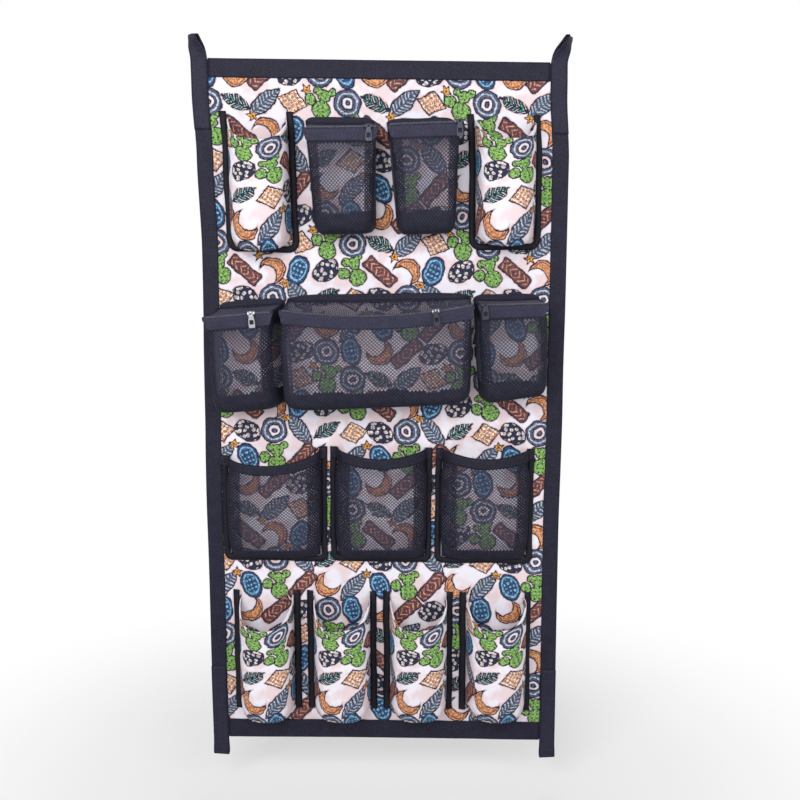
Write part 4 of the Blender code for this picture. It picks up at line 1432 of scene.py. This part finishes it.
@dataclass
class MeshPocket:
    """An open net pocket with a hem folded over its mouth and a lining along its base.

    rows are the profile from the mouth to the base: the depth, the fall and how evenly the net is spread,
    each as a share. lens flattens the pocket beside its seams, near the mouth.
    """

    name: str
    left: float
    right: float
    top: float
    bottom: float
    left_drop: float
    depth: float = 0.040
    dip: float = 0.014
    roundness: float = 3.6
    lens: float = 0.35
    lens_fall: float = 0.5
    hem_height: float = 0.021
    hem_inside: float = 0.012
    hem_thick: float = 0.0010
    hem_turn: float = 0.0024
    hem_slack: float = 0.0004
    hem_flare: float = 0.010
    hem_front: float = 0.0046
    hem_crease: Crease = Crease(0.0011, 0.012, 0.06, layer=9.0)
    spill: float = 0.0
    hem_rise: float = 0.0006
    lining_share: float = 0.8
    lining_inset: float = 0.0012
    lining_wave: Crease = Crease(0.03, 1 / 6, 1.0)
    base_band: float = 0.032
    side_band: float = 0.010
    puff: float = 0.004
    puff_start: float = 0.14
    puff_growth: float = 0.1
    droop: float = 0.006
    tape_clear: float = 0.004
    tape_fade: float = 0.006
    creases: tuple[Crease, ...] = (Crease(0.0040, 1 / 5, 1 / 3), Crease(0.0016, 1 / 14, 1 / 5, layer=2.0))
    rows: tuple[tuple[float, float, float], ...] = (
        (1.00, 0.00, 0.0),
        (0.97, 0.11, 0.0),
        (0.91, 0.30, 0.0),
        (0.82, 0.55, 0.0),
        (0.68, 0.80, 0.10),
        (0.42, 0.96, 0.45),
        (0.00, 1.00, 1.00),
    )

    def __post_init__(self) -> None:
        """Works out the seams, the section and the profile."""
        self.hem_wall = self.hem_thick + GAP
        inset = TAPE_WIDTH + GAP + self.hem_wall
        self.seams = (self.left + inset, self.right - inset)
        self.section = rounded_section(self.roundness, self.seams[1] - self.seams[0], self.depth)
        self.profile = Track(curve_through(self.rows), (self.depth, self.top - self.bottom, 0.0))

    def mouth(self, across: float) -> float:
        """The height of the mouth, which hangs in a curve between the seams."""
        slack = max(0.0, math.sin(math.pi * across)) ** 1.7
        return self.top - self.left_drop * (1 - across) ** 0.6 - self.dip * slack

    def surface(self, across: float, row: Sequence[float], proud: float) -> Vector:
        """A point of the pocket's wall.

        Args:
            across: The share across.
            row: The depth, the fall and the even spread, each as a share.
            proud: How far outside the net's face the point lies.

        Returns:
            The point.
        """
        fall = row[1]
        x, out = self.section.at(across)
        out *= 1 - self.lens * abs(x) ** 3 * (1 - ease(fall / self.lens_fall))
        seams = (self.seams[0] - proud, self.seams[1] + proud)
        crease = creased(self.creases, across, fall, self.left * 30)
        free = math.sin(math.pi * across) ** 0.5 * (1 - fall**6)
        point = pouch_point(seams, x, out, across, row, self.depth + proud + crease * free)
        level = self.mouth(across)
        point.z = level + (self.bottom - level) * fall
        # Below the hem and in front of the seams the wall puffs sideways over the tape, and its base hangs.
        below_hem = ease((fall - self.puff_start) / self.puff_growth)
        ahead = ease((-point.y - self.tape_clear) / self.tape_fade)
        point.x += math.copysign(self.puff, x) * abs(x) ** 3 * below_hem * ahead
        point.z -= self.droop * fall**6 * ahead
        return point

    def build(self) -> None:
        """Cuts the net, the hem and the lining, and sews them."""
        width = self.section.run[-1]
        length = self.profile.run[-1]
        net = Cut(width, length, NET_CELL)
        edge = NET_CELL * EDGE_CELLS
        side = self.depth * SIDE_WALL + self.side_band
        net.open_net(
            NET_STRAND,
            lambda x, y: min(x, width - x, y) < edge or y > length - self.base_band,
            lambda x, y: min(x, width - x) < side,
        )
        made = net.bend(lambda across, down: hang(self.surface(across, self.profile.at(down), 0.0)))
        name = f"{self.name}_net"
        piece = add_piece(f"{name}_cloth", made, NET_CLOTH, name, NET_THICK)
        self.build_lining(width, length)
        self.build_hem(width)

    def build_lining(self, width: float, length: float) -> None:
        """Lines the base, where the net's allowance is turned in."""
        drawn_in = self.lining_share * width
        cut = Cut(drawn_in, self.base_band, BAND_CELL)

        def place(across: float, down: float) -> Vector:
            share = 1 - self.base_band / length * (1 - down)
            wave = self.lining_wave.lift(across, 0.0, self.left * 20) * (1 - down)
            return hang(self.surface(across, self.profile.at(share + wave), -self.lining_inset))

        made = cut.bend(place)
        piece = add_piece(f"{self.name}_base_lining", made, (HEM,), "", LINING_WALL)

    def build_hem(self, width: float) -> None:
        """Folds the hem over the mouth: a short leg inside, a long one outside."""
        height = self.hem_inside + self.hem_height
        cut = Cut(width, height, HEM_CELL)
        thick = self.hem_wall

        def place(across: float, down: float) -> Vector:
            run = down * height - self.hem_inside
            share = min(abs(run) / self.profile.run[-1], 1.0)
            turned = ease((self.hem_turn / 2 - run) / self.hem_turn)
            proud = thick - (2 * thick + self.hem_slack) * turned
            point = self.surface(across, self.profile.at(share), proud)
            crease = self.hem_crease.lift(across * width, run, self.left * 30)
            point.y -= max(0.0, crease) * math.sin(math.pi * across) ** 0.5
            point.z += self.hem_rise
            # Its ends reach over the tape, flat on the panel.
            side = 2 * across - 1
            flare = ease((abs(side) - 0.90) / 0.09) * ease((run + 0.002) / 0.004)
            point.x += (self.hem_flare if side > 0 else -self.hem_flare - self.spill) * flare
            point.y += (min(point.y, -self.hem_front) - point.y) * flare
            return hang(point)

        made = cut.bend(place)
        name = f"{self.name}_hem"
        piece = add_piece(f"{name}_tape", made, (HEM,), name, HEM_WALL)


@dataclass
class ZipPocket:
    """A box-shaped net pocket with a top panel that a zipper joins to its front.

    drop is how far the zip line lies below the top, tilt how much higher its right end is than its left one,
    and sag how far its middle hangs. front_shift, bottom_shift and low_lean move the left and right ends of
    the front, the base and the lower front sideways. Below square_fall the upper corners' square turns round.
    """

    name: str
    left: float
    right: float
    top: float
    height: float
    drop: float
    tilt: float
    front_shift: tuple[float, float]
    bottom_shift: tuple[float, float]
    low_lean: tuple[float, float] = (0.0, 0.0)
    base_tilt: float = 0.0
    sag: float = 0.0
    metal: Finish = GUNMETAL
    pull_metal: Finish = GUNMETAL
    depth: float = 0.070
    lid_band: float = 0.009
    lid_flange: float = 0.014
    flange_slope: float = 0.10
    lid_sag: float = 0.003
    lid_strand: float = 0.0024
    lid_end_drop: float = 0.006
    band_turn: float = 0.010
    band_proud: float = 0.0012
    band_ripple: Crease = Crease(0.0008, 0.02, 1 / 2)
    tape_ripple: Crease = Crease(0.0005, 0.016, 1.0, layer=0.7)
    belly: float = 0.007
    corner_lift: float = 0.014
    square_fall: float = 0.5
    lean_fall: float = 0.4
    roundness: float = 6.0
    front_band: float = 0.024
    side_band: tuple[float, float] = (0.014, 0.012)
    base_band: float = 0.020
    base_uneven: Crease = Crease(0.008, 0.07, 1.0)
    crease_fall: float = 0.2
    creases: tuple[Crease, ...] = (Crease(0.0035, 1 / 5, 1 / 3), Crease(0.0013, 1 / 13, 1 / 5, layer=3.0))
    rows: tuple[tuple[float, float, float], ...] = (
        (1.00, 0.00, 0.0),
        (1.00, 0.16, 0.0),
        (1.03, 0.38, 0.0),
        (1.03, 0.64, 0.0),
        (1.00, 0.84, 0.0),
        (0.94, 0.92, 0.05),
        (0.80, 0.96, 0.15),
        (0.42, 0.98, 0.50),
        (0.00, 1.00, 1.00),
    )

    def __post_init__(self) -> None:
        """Works out the section and the profile."""
        self.section = rounded_section(self.roundness, self.right - self.left, self.depth)
        self.profile = Track(curve_through(self.rows), (self.depth, self.height - self.drop, 0.0))

    def zip_ends(self) -> tuple[tuple[float, float], tuple[float, float]]:
        """The zip line's left and right ends, as (x, z)."""
        low = self.top - self.drop
        left = (self.left + self.front_shift[0], low - self.tilt / 2)
        right = (self.right + self.front_shift[1], low + self.tilt / 2)
        return left, right

    def zip_circle(self) -> tuple[tuple[float, float], float]:
        """The centre and radius of the arc that a sagging zip line follows."""
        left, right = self.zip_ends()
        chord = math.dist(left, right)
        radius = (chord * chord / 4 + self.sag * self.sag) / (2 * self.sag)
        angle = math.atan2(right[1] - left[1], right[0] - left[0])
        rise = radius - self.sag
        middle = ((left[0] + right[0]) / 2, (left[1] + right[1]) / 2)
        return (middle[0] - rise * math.sin(angle), middle[1] + rise * math.cos(angle)), radius

    def zip_length(self) -> float:
        """The length of the zip line between the pocket's sides."""
        left, right = self.zip_ends()
        chord = math.dist(left, right)
        if not self.sag:
            return chord
        radius = self.zip_circle()[1]
        return 2 * radius * math.asin(chord / 2 / radius)

    def zip_height(self, x: float) -> float:
        """The height of the zip line at x."""
        if self.sag:
            centre, radius = self.zip_circle()
            return centre[1] - math.sqrt(radius * radius - (x - centre[0]) ** 2)
        left, right = self.zip_ends()
        return left[1] + (right[1] - left[1]) * (x - left[0]) / (right[0] - left[0])

    def zip_station(self, share: float) -> Matrix:
        """A frame on the zip line: share 0 is its left end, 1 its right, and past them it runs on."""
        left, right = self.zip_ends()
        if self.sag:
            centre, radius = self.zip_circle()
            first = math.atan2(left[0] - centre[0], centre[1] - left[1])
            last = math.atan2(right[0] - centre[0], centre[1] - right[1])
            angle = between((first, last), share)
            x = centre[0] + radius * math.sin(angle)
            z = centre[1] - radius * math.cos(angle)
        else:
            angle = math.atan2(right[1] - left[1], right[0] - left[0])
            x = between((left[0], right[0]), share)
            z = between((left[1], right[1]), share)
        return Matrix.Translation((x, FRONT - self.depth, z)) @ Matrix.Rotation(-angle, 4, "Y")

    def lid_height(self, x: float, share: float, reach: float) -> float:
        """The height of the top panel's upper face, reach metres in from its front edge."""
        flange = self.zip_height(x) + self.flange_slope * min(reach, self.lid_flange)
        if reach <= self.lid_flange:
            return flange
        seam = self.top - self.lid_band + self.tilt * (share - 0.5)
        way = (reach - self.lid_flange) / (self.depth - CLOTH - self.lid_flange)
        sag = self.lid_sag * math.sin(math.pi * share) * math.sin(math.pi * min(1.0, way))
        return flange + (seam - flange) * way - sag

    def wall_point(self, across: float, down: float) -> Vector:
        """A point of the body's wall.

        Args:
            across: The share across the cut, from one seam on the panel round the front to the other.
            down: The share down it.

        Returns:
            The point.
        """
        outward, fall, even = self.profile.at(down)
        x, out = self.section.at(across)
        square = 1 + (1 / max(abs(x), out) - 1) * (1 - ease(fall / self.square_fall))
        x *= square
        out *= square
        x += (2 * across - 1 - x) * even
        share = (x + 1) / 2
        reach = outward * out
        held = min(1.0, reach)
        spot_x = between((self.left, self.right), share) + between(self.front_shift, share) * held
        top = self.lid_height(spot_x, share, self.depth * (1 - held)) - NET_THICK - SEAM_GAP
        base = self.top - self.height + (self.tilt + self.base_tilt) * (share - 0.5)
        spot_x += between(self.bottom_shift, share) * fall
        spot_x += between(self.low_lean, share) * ease(fall / self.lean_fall) * held
        # The base hangs in a belly and its corners are drawn up; the powers keep both near the base.
        z = top + (base - top) * fall - self.belly * out * min(1.0, BELLY_REACH * outward) * fall**6
        z += self.corner_lift * fall**10 * abs(x) ** 12
        crease = creased(self.creases, across, fall, self.left * 25 + self.top * 50)
        free = ease(fall / self.crease_fall) * (1 - fall**5) * out
        return Vector((spot_x, FRONT - self.depth * reach - CLOTH * fall**8 - crease * free, z))

    def build_body(self) -> None:
        """Cuts the net of the front, the side walls and the base; under the zipper it is lined and closed."""
        width = self.section.run[-1]
        length = self.profile.run[-1]
        net = Cut(width, length, NET_CELL)
        edge = NET_CELL * EDGE_CELLS
        corner = self.depth * SIDE_WALL
        base = length - self.depth - self.base_band

        def closed(x: float, y: float) -> bool:
            uneven = self.base_uneven.lift(x, self.left * 30, self.top * 9)
            return min(x, width - x) < edge or y < self.front_band or y > base + uneven

        def doubled(x: float, _: float) -> bool:
            return corner - self.side_band[0] < min(x, width - x) < corner + self.side_band[1]

        net.open_net(NET_STRAND, closed, doubled)
        made = net.bend(lambda across, down: hang(self.wall_point(across, down)))
        piece = add_piece(f"{self.name}_net", made, NET_CLOTH, f"{self.name}_body", NET_THICK)

    def lid_point(self, across: float, reach: float, proud: float) -> Vector:
        """A point of the top panel, reach metres in from its front edge; past the panel it climbs it."""
        room = self.depth - CLOTH
        held = min(reach, room)
        rise = max(0.0, reach - room)
        x = between((self.left, self.right), across) + between(self.front_shift, across) * (1 - held / room)
        y = FRONT - CLOTH - room + held - min(proud, 0.001) * ease(rise / 0.002)
        low_end = self.lid_end_drop * ease(rise / 0.004) * abs(2 * across - 1) ** 9
        return Vector((x, y, self.lid_height(x, across, held) + proud - low_end + rise))

    def build_lid(self) -> None:
        """Cuts the net of the top panel and the band that joins it to the panel."""
        room = self.depth - CLOTH
        length = room + self.lid_band
        width = self.right - self.left
        net = Cut(width, length, NET_CELL)
        edge = NET_CELL * EDGE_CELLS
        net.open_net(
            self.lid_strand,
            lambda x, y: min(x, width - x, y) < edge or y > room,
            lambda x, y: False,
        )
        made = net.bend(lambda across, down: hang(self.lid_point(across, down * length, 0.0)))
        lid = f"{self.name}_lid"
        piece = add_piece(f"{self.name}_top_net", made, NET_CLOTH, lid, NET_THICK)
        height = self.band_turn + self.lid_band
        band = Cut(width, height, BAND_CELL)

        def place(across: float, down: float) -> Vector:
            reach = room - self.band_turn + down * height
            ripple = self.band_ripple.lift(across * width, down, self.left * 30)
            return hang(self.lid_point(across, reach, self.band_proud + ripple))

        made = band.bend(place)
        piece = add_piece(f"{self.name}_top_band", made, (BINDING,), "", BAND_WALL)

    def zip_section(self) -> Track:
        """The tape's section, as y and z from the zip line: up the front and in over the top panel."""
        outer = GAP + ZIP_TAPE_THICK
        corner = 0.0016
        points = [(-outer, -ZIP_TAPE_FRONT), (-outer, -corner)]
        for step in (1, 2, 3):
            angle = step * math.pi / 8
            rise = (corner + outer) * math.sin(angle)
            points.append((-outer + corner * (1 - math.cos(angle)), -corner + rise))
        points += [(-outer + corner, outer), (ZIP_TAPE_LID, outer + self.flange_slope * ZIP_TAPE_LID)]
        return Track(points, (1.0, 1.0))

    def build_zipper(self) -> None:
        """Lays the zip tape over the edge from the front to the top panel, with the coil along the fold."""
        section = self.zip_section()
        length = self.zip_length()
        full = length + 2 * ZIP_TAIL
        girth = section.run[-1]
        cut = Cut(full, girth, ZIP_CELL)

        def place(along: float, over: float) -> Vector:
            y, z = section.at(1 - over)
            run = along * full - ZIP_TAIL
            past = max(0.0, ZIP_NOSE - run, run - length + ZIP_NOSE) / (ZIP_TAIL + ZIP_NOSE)
            taper = 1 - ZIP_TAPER * ease(past)
            ripple = self.tape_ripple.lift(run, self.left * 11)
            out = y * taper if y > 0 else y - ripple * ease(-z / ZIP_TAPE_FRONT)
            up = z * taper if z < 0 else z
            return self.zip_station(run / length) @ Vector((0.0, out, up))

        made = cut.bend(place)
        zipper = f"{self.name}_zipper"
        piece = add_piece(f"{self.name}_zip_tape", made, (ZIP_CLOTH,), zipper, ZIP_TAPE_WALL)
        self.build_coil(length)

    def build_coil(self, length: float) -> None:
        """Winds the coil of filament along the zip line."""
        turns = round(length / COIL_PITCH)
        steps = turns * COIL_STEPS
        coil = bmesh.new()
        ring = bmesh.ops.create_circle(coil, segments=4, radius=COIL_WIRE)["verts"]
        bmesh.ops.rotate(coil, verts=ring, cent=(0, 0, 0), matrix=Matrix.Rotation(math.pi / 2, 3, "X"))
        bmesh.ops.translate(coil, vec=(0.0, 0.0, COIL_RADIUS - COIL_WIRE - COIL_PLAY), verts=ring)
        bmesh.ops.rotate(coil, verts=ring, cent=(0, 0, 0), matrix=Matrix.Rotation(math.pi / 2, 3, "Z"))
        edges = list({edge for vert in ring for edge in vert.link_edges})
        bmesh.ops.spin(
            coil,
            geom=ring + edges,
            cent=(0, 0, 0),
            axis=(1, 0, 0),
            dvec=(length / steps, 0, 0),
            angle=2 * math.pi * turns,
            steps=steps,
            use_merge=False,
        )
        for vertex in coil.verts:
            spot = Vector((0.0, vertex.co.y - COIL_OUT, vertex.co.z + COIL_OUT))
            vertex.co = self.zip_station(vertex.co.x / length) @ spot
        bmesh.ops.recalc_face_normals(coil, faces=coil.faces)
        add_piece(f"{self.name}_coil", coil, (COIL,))

    def dress_hardware(self) -> None:
        """Gives the slider and the pull their metal and softens their edges."""
        for part, metal in (("slider", self.metal), ("pull", self.pull_metal)):
            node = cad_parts[f"{self.name}_{part}"]
            for slot in node.material_slots:
                slot.material = metal.build()
            merged = node.modifiers.new("merged", "WELD")
            merged.merge_threshold = 0.00001
            edges = node.modifiers.new("edges", "BEVEL")
            edges.width = METAL_EDGE
            edges.segments = 2
            edges.limit_method = "ANGLE"

    def build(self) -> None:
        """Sews the whole pocket."""
        self.build_body()
        self.build_lid()
        self.build_zipper()
        self.dress_hardware()


@dataclass(frozen=True)
class Lamp:
    """A soft square light, its place, the side of its square and its power in watts."""

    name: str
    place: tuple[float, float, float]
    size: float
    power: float


@dataclass
class Studio:
    """The pale floor, the soft light and the camera; the lamps look between the upper and the zipped row."""

    focal: float = 50.2
    sensor: float = 36.0
    eye: tuple[float, float, float] = (0.0282, -1.9106, -0.3069)
    aim: tuple[float, float, float] = (0.0282, 0.0, -0.6095)
    lamp_aim: tuple[float, float, float] = (0.0, 0.0, -0.25)
    lamps: tuple[Lamp, ...] = (
        Lamp("key", (-0.9, -2.35, 0.6), 1.6, 52.0),
        Lamp("fill", (1.4, -2.15, 0.35), 1.8, 25.0),
        Lamp("back", (0.3, 2.4, 0.6), 1.6, 26.0),
    )
    floor_height: float = -1.32
    floor_radius: float = 6.0
    floor_colour: str = "#E4E4E4"
    floor_fade: tuple[float, float] = (0.25, 1.1)
    floor_glow: float = 0.35
    room_light: float = 0.36

    def aimed(
        self, data: bpy.types.ID, eye: tuple[float, float, float], aim: tuple[float, float, float]
    ) -> bpy.types.Object:
        """Sets a camera or a lamp up at a place, looking at another."""
        thing = bpy.data.objects.new(data.name, data)
        bpy.context.scene.collection.objects.link(thing)
        turn = (Vector(aim) - Vector(eye)).to_track_quat("-Z", "Y").to_matrix().to_4x4()
        thing.matrix_world = Matrix.Translation(eye) @ turn
        return thing

    def build_camera(self) -> None:
        """Places the camera where the photograph was taken from."""
        data = bpy.data.cameras.new("camera")
        data.lens = self.focal
        data.sensor_width = self.sensor
        data.clip_start = 0.05
        bpy.context.scene.camera = self.aimed(data, self.eye, self.aim)

    def build_lamps(self) -> None:
        """Hangs the soft lights."""
        for lamp in self.lamps:
            data = bpy.data.lights.new(lamp.name, "AREA")
            data.size = lamp.size
            data.energy = lamp.power
            self.aimed(data, lamp.place, self.lamp_aim)

    def floor_finish(self) -> bpy.types.Material:
        """A pale floor that glows more towards its edge, so that it goes over into the white background."""
        made = bpy.data.materials.new("pale_floor")
        made.use_nodes = True
        board = NodeBoard(made.node_tree)
        shader = made.node_tree.nodes["Principled BSDF"]
        shader.inputs["Base Color"].default_value = linear(self.floor_colour)
        shader.inputs["Roughness"].default_value = 0.9
        place = board.add("TexCoord").node.outputs["Object"]
        flat = board.add("VectorMath.MULTIPLY", place, (1.0, 1.0, 0.0))
        far = board.add("VectorMath.LENGTH", flat)
        glow = (self.floor_glow, 1.0)
        share = board.add("MapRange", far, *self.floor_fade, *glow, interpolation_type="SMOOTHSTEP")
        white = board.add("Emission", (1.0, 1.0, 1.0, 1.0), 1.0)
        seen = board.add("LightPath").node.outputs
        shown = board.add("Math.MULTIPLY", seen["Is Camera Ray"], share)
        blended = board.add("MixShader", shown, shader.outputs[0], white)
        board.feed(made.node_tree.nodes["Material Output"], "Surface", blended)
        return made

    def build_floor(self) -> None:
        """Lays the floor."""
        disc = bmesh.new()
        bmesh.ops.create_circle(disc, cap_ends=True, segments=96, radius=self.floor_radius)
        bmesh.ops.translate(disc, vec=(0, 0, self.floor_height), verts=disc.verts)
        data = bpy.data.meshes.new("floor")
        disc.to_mesh(data)
        disc.free()
        data.materials.append(self.floor_finish())
        floor = bpy.data.objects.new("floor", data)
        bpy.context.scene.collection.objects.link(floor)

    def build_world(self) -> None:
        """Fills the room with even light; the camera, metal and glass see it white."""
        world = bpy.data.worlds.new("room")
        bpy.context.scene.world = world
        world.use_nodes = True
        board = NodeBoard(world.node_tree)
        ground = world.node_tree.nodes["Background"]
        seen = board.add("LightPath").node.outputs
        plain = board.add("Math.MAXIMUM", seen["Is Camera Ray"], seen["Is Glossy Ray"])
        shown = board.add("Math.MAXIMUM", plain, seen["Is Transmission Ray"])
        board.feed(ground, "Strength", board.add("MapRange", shown, 0.0, 1.0, self.room_light, 1.0))
        ground.inputs["Color"].default_value = (1.0, 1.0, 1.0, 1.0)

    def build(self) -> None:
        """Sets the stage."""
        scene = bpy.context.scene
        scene.view_settings.view_transform = "Standard"
        self.build_camera()
        self.build_floor()
        self.build_world()
        self.build_lamps()


def bottle_pockets(upper_top: float, lower_top: float) -> None:
    """Sews the two upper bottle pockets, each with one tape round it, and the four lower ones."""
    upper = UPPER_ROW.spans()
    for word, (left, right), short in (("left", upper[0], 0.0), ("right", upper[3], 0.008)):
        name = f"bottle_pocket_upper_{word}"
        base = upper_top - UPPER_ROW.height + short
        BottlePocket(name, left, right, upper_top, base, dip=0.036, seam_rise=0.006, droop=0.020).build()
        inner = (left + TAPE_WIDTH, right - TAPE_WIDTH)
        low = base - GAP
        corners = [(inner[0], upper_top), (inner[0], low), (inner[1], low), (inner[1], upper_top)]
        EdgeTape(f"{name}_edge_tape", corners, f"{name}_tape").build()
    base = lower_top - LOWER_ROW.height
    rise = 0.024
    end = base + rise
    for number, (left, right) in enumerate(LOWER_ROW.spans(), start=1):
        name = f"bottle_pocket_lower_{number}"
        BottlePocket(name, left, right, lower_top, base, dip=0.044, seam_rise=rise, slant=0.012).build()
        inner = (left + TAPE_WIDTH, right - TAPE_WIDTH)
        down = [(inner[0], lower_top), (inner[0], end)]
        up = [(inner[1], end), (inner[1], lower_top)]
        EdgeTape(f"{name}_edge_left", down, f"{name}_tape_left", lift=0.0035).build()
        EdgeTape(f"{name}_edge_right", up, f"{name}_tape_right", lift=0.0035).build()


def mesh_pockets(top: float) -> None:
    """Sews the three open net pockets; the left one's mouth has slipped down at its left end."""
    base = top - MESH_ROW.height + TAPE_WIDTH
    for word, (left, right), drop in zip(("left", "middle", "right"), MESH_ROW.spans(), (0.018, 0.0, 0.0)):
        name = f"mesh_pocket_{word}"
        MeshPocket(name, left, right, top, base, drop, spill=drop / 3).build()
        inner = (left + TAPE_WIDTH, right - TAPE_WIDTH)
        low = base - GAP
        corners = [(inner[0], top - drop), (inner[0], low), (inner[1], low), (inner[1], top)]
        EdgeTape(f"{name}_edge_tape", corners, f"{name}_tape", turn=0.004).build()


def zip_pockets(upper_top: float, zip_top: float) -> None:
    """Sews the five zipped net pockets."""
    upper = UPPER_ROW.spans()
    row = ZIP_ROW.spans()
    small = {"top": upper_top - 0.009, "height": 0.190, "depth": 0.060, "base_band": 0.025}
    pockets = (
        ZipPocket(
            "zip_pocket_upper_left", *upper[1], **small, drop=0.020, tilt=0.001,
            front_shift=(0.0, 0.0), bottom_shift=(0.012, -0.003),
        ),
        ZipPocket(
            "zip_pocket_upper_right", *upper[2], **small, drop=0.014, tilt=0.004,
            front_shift=(0.003, 0.003), bottom_shift=(0.013, -0.005),
        ),
        ZipPocket(
            "zip_pocket_left", *row[0], top=zip_top - 0.012, height=0.181, drop=0.018, tilt=0.009,
            front_shift=(-0.011, -0.016), bottom_shift=(0.008, 0.008), low_lean=(-0.004, -0.005),
            metal=NICKEL, pull_metal=NICKEL,
        ),
        ZipPocket(
            "zip_pocket_middle", *row[1], top=zip_top + 0.001, height=0.188, drop=0.020, tilt=0.008,
            sag=0.013, front_shift=(-0.001, -0.002), bottom_shift=(0.010, -0.003), low_lean=(-0.012, 0.004),
            base_tilt=0.005, roundness=12.0, front_band=0.016, lid_strand=0.0012, metal=NICKEL,
        ),
        ZipPocket(
            "zip_pocket_right", *row[2], top=zip_top + 0.003, height=0.176, drop=0.016, tilt=0.003,
            front_shift=(0.009, 0.003), bottom_shift=(0.012, 0.002), low_lean=(-0.007, 0.009),
            base_tilt=0.014,
        ),
    )
    for pocket in pockets:
        pocket.build()


def straps() -> None:
    """Bends the four loops; the right upper one is twisted a little further than the left."""
    for side, word, rise, lean, twist in ((-1, "left", 0.0395, 0.009, 60), (1, "right", 0.0435, 0.016, 66)):
        upper = {"rise": rise, "gap": 0.0062, "tail": 0.114, "lean": lean, "twist": twist}
        lower = {"rise": 0.034, "gap": 0.010, "tail": 0.133, "lean": 0.0, "twist": 6}
        Strap(f"strap_top_{word}", side, upward=1, **upper).build()
        Strap(f"strap_bottom_{word}", side, upward=-1, **lower).build()


def main() -> None:
    """Builds the organizer's looks round the frame."""
    logging.basicConfig(level=logging.INFO, format="%(message)s")
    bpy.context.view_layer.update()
    Studio().build()
    upper_top, zip_top, mesh_top, lower_top = row_tops()
    Panel().build()
    straps()
    bottle_pockets(upper_top, lower_top)
    mesh_pockets(mesh_top)
    zip_pockets(upper_top, zip_top)


if __name__ == "__main__":
    main()
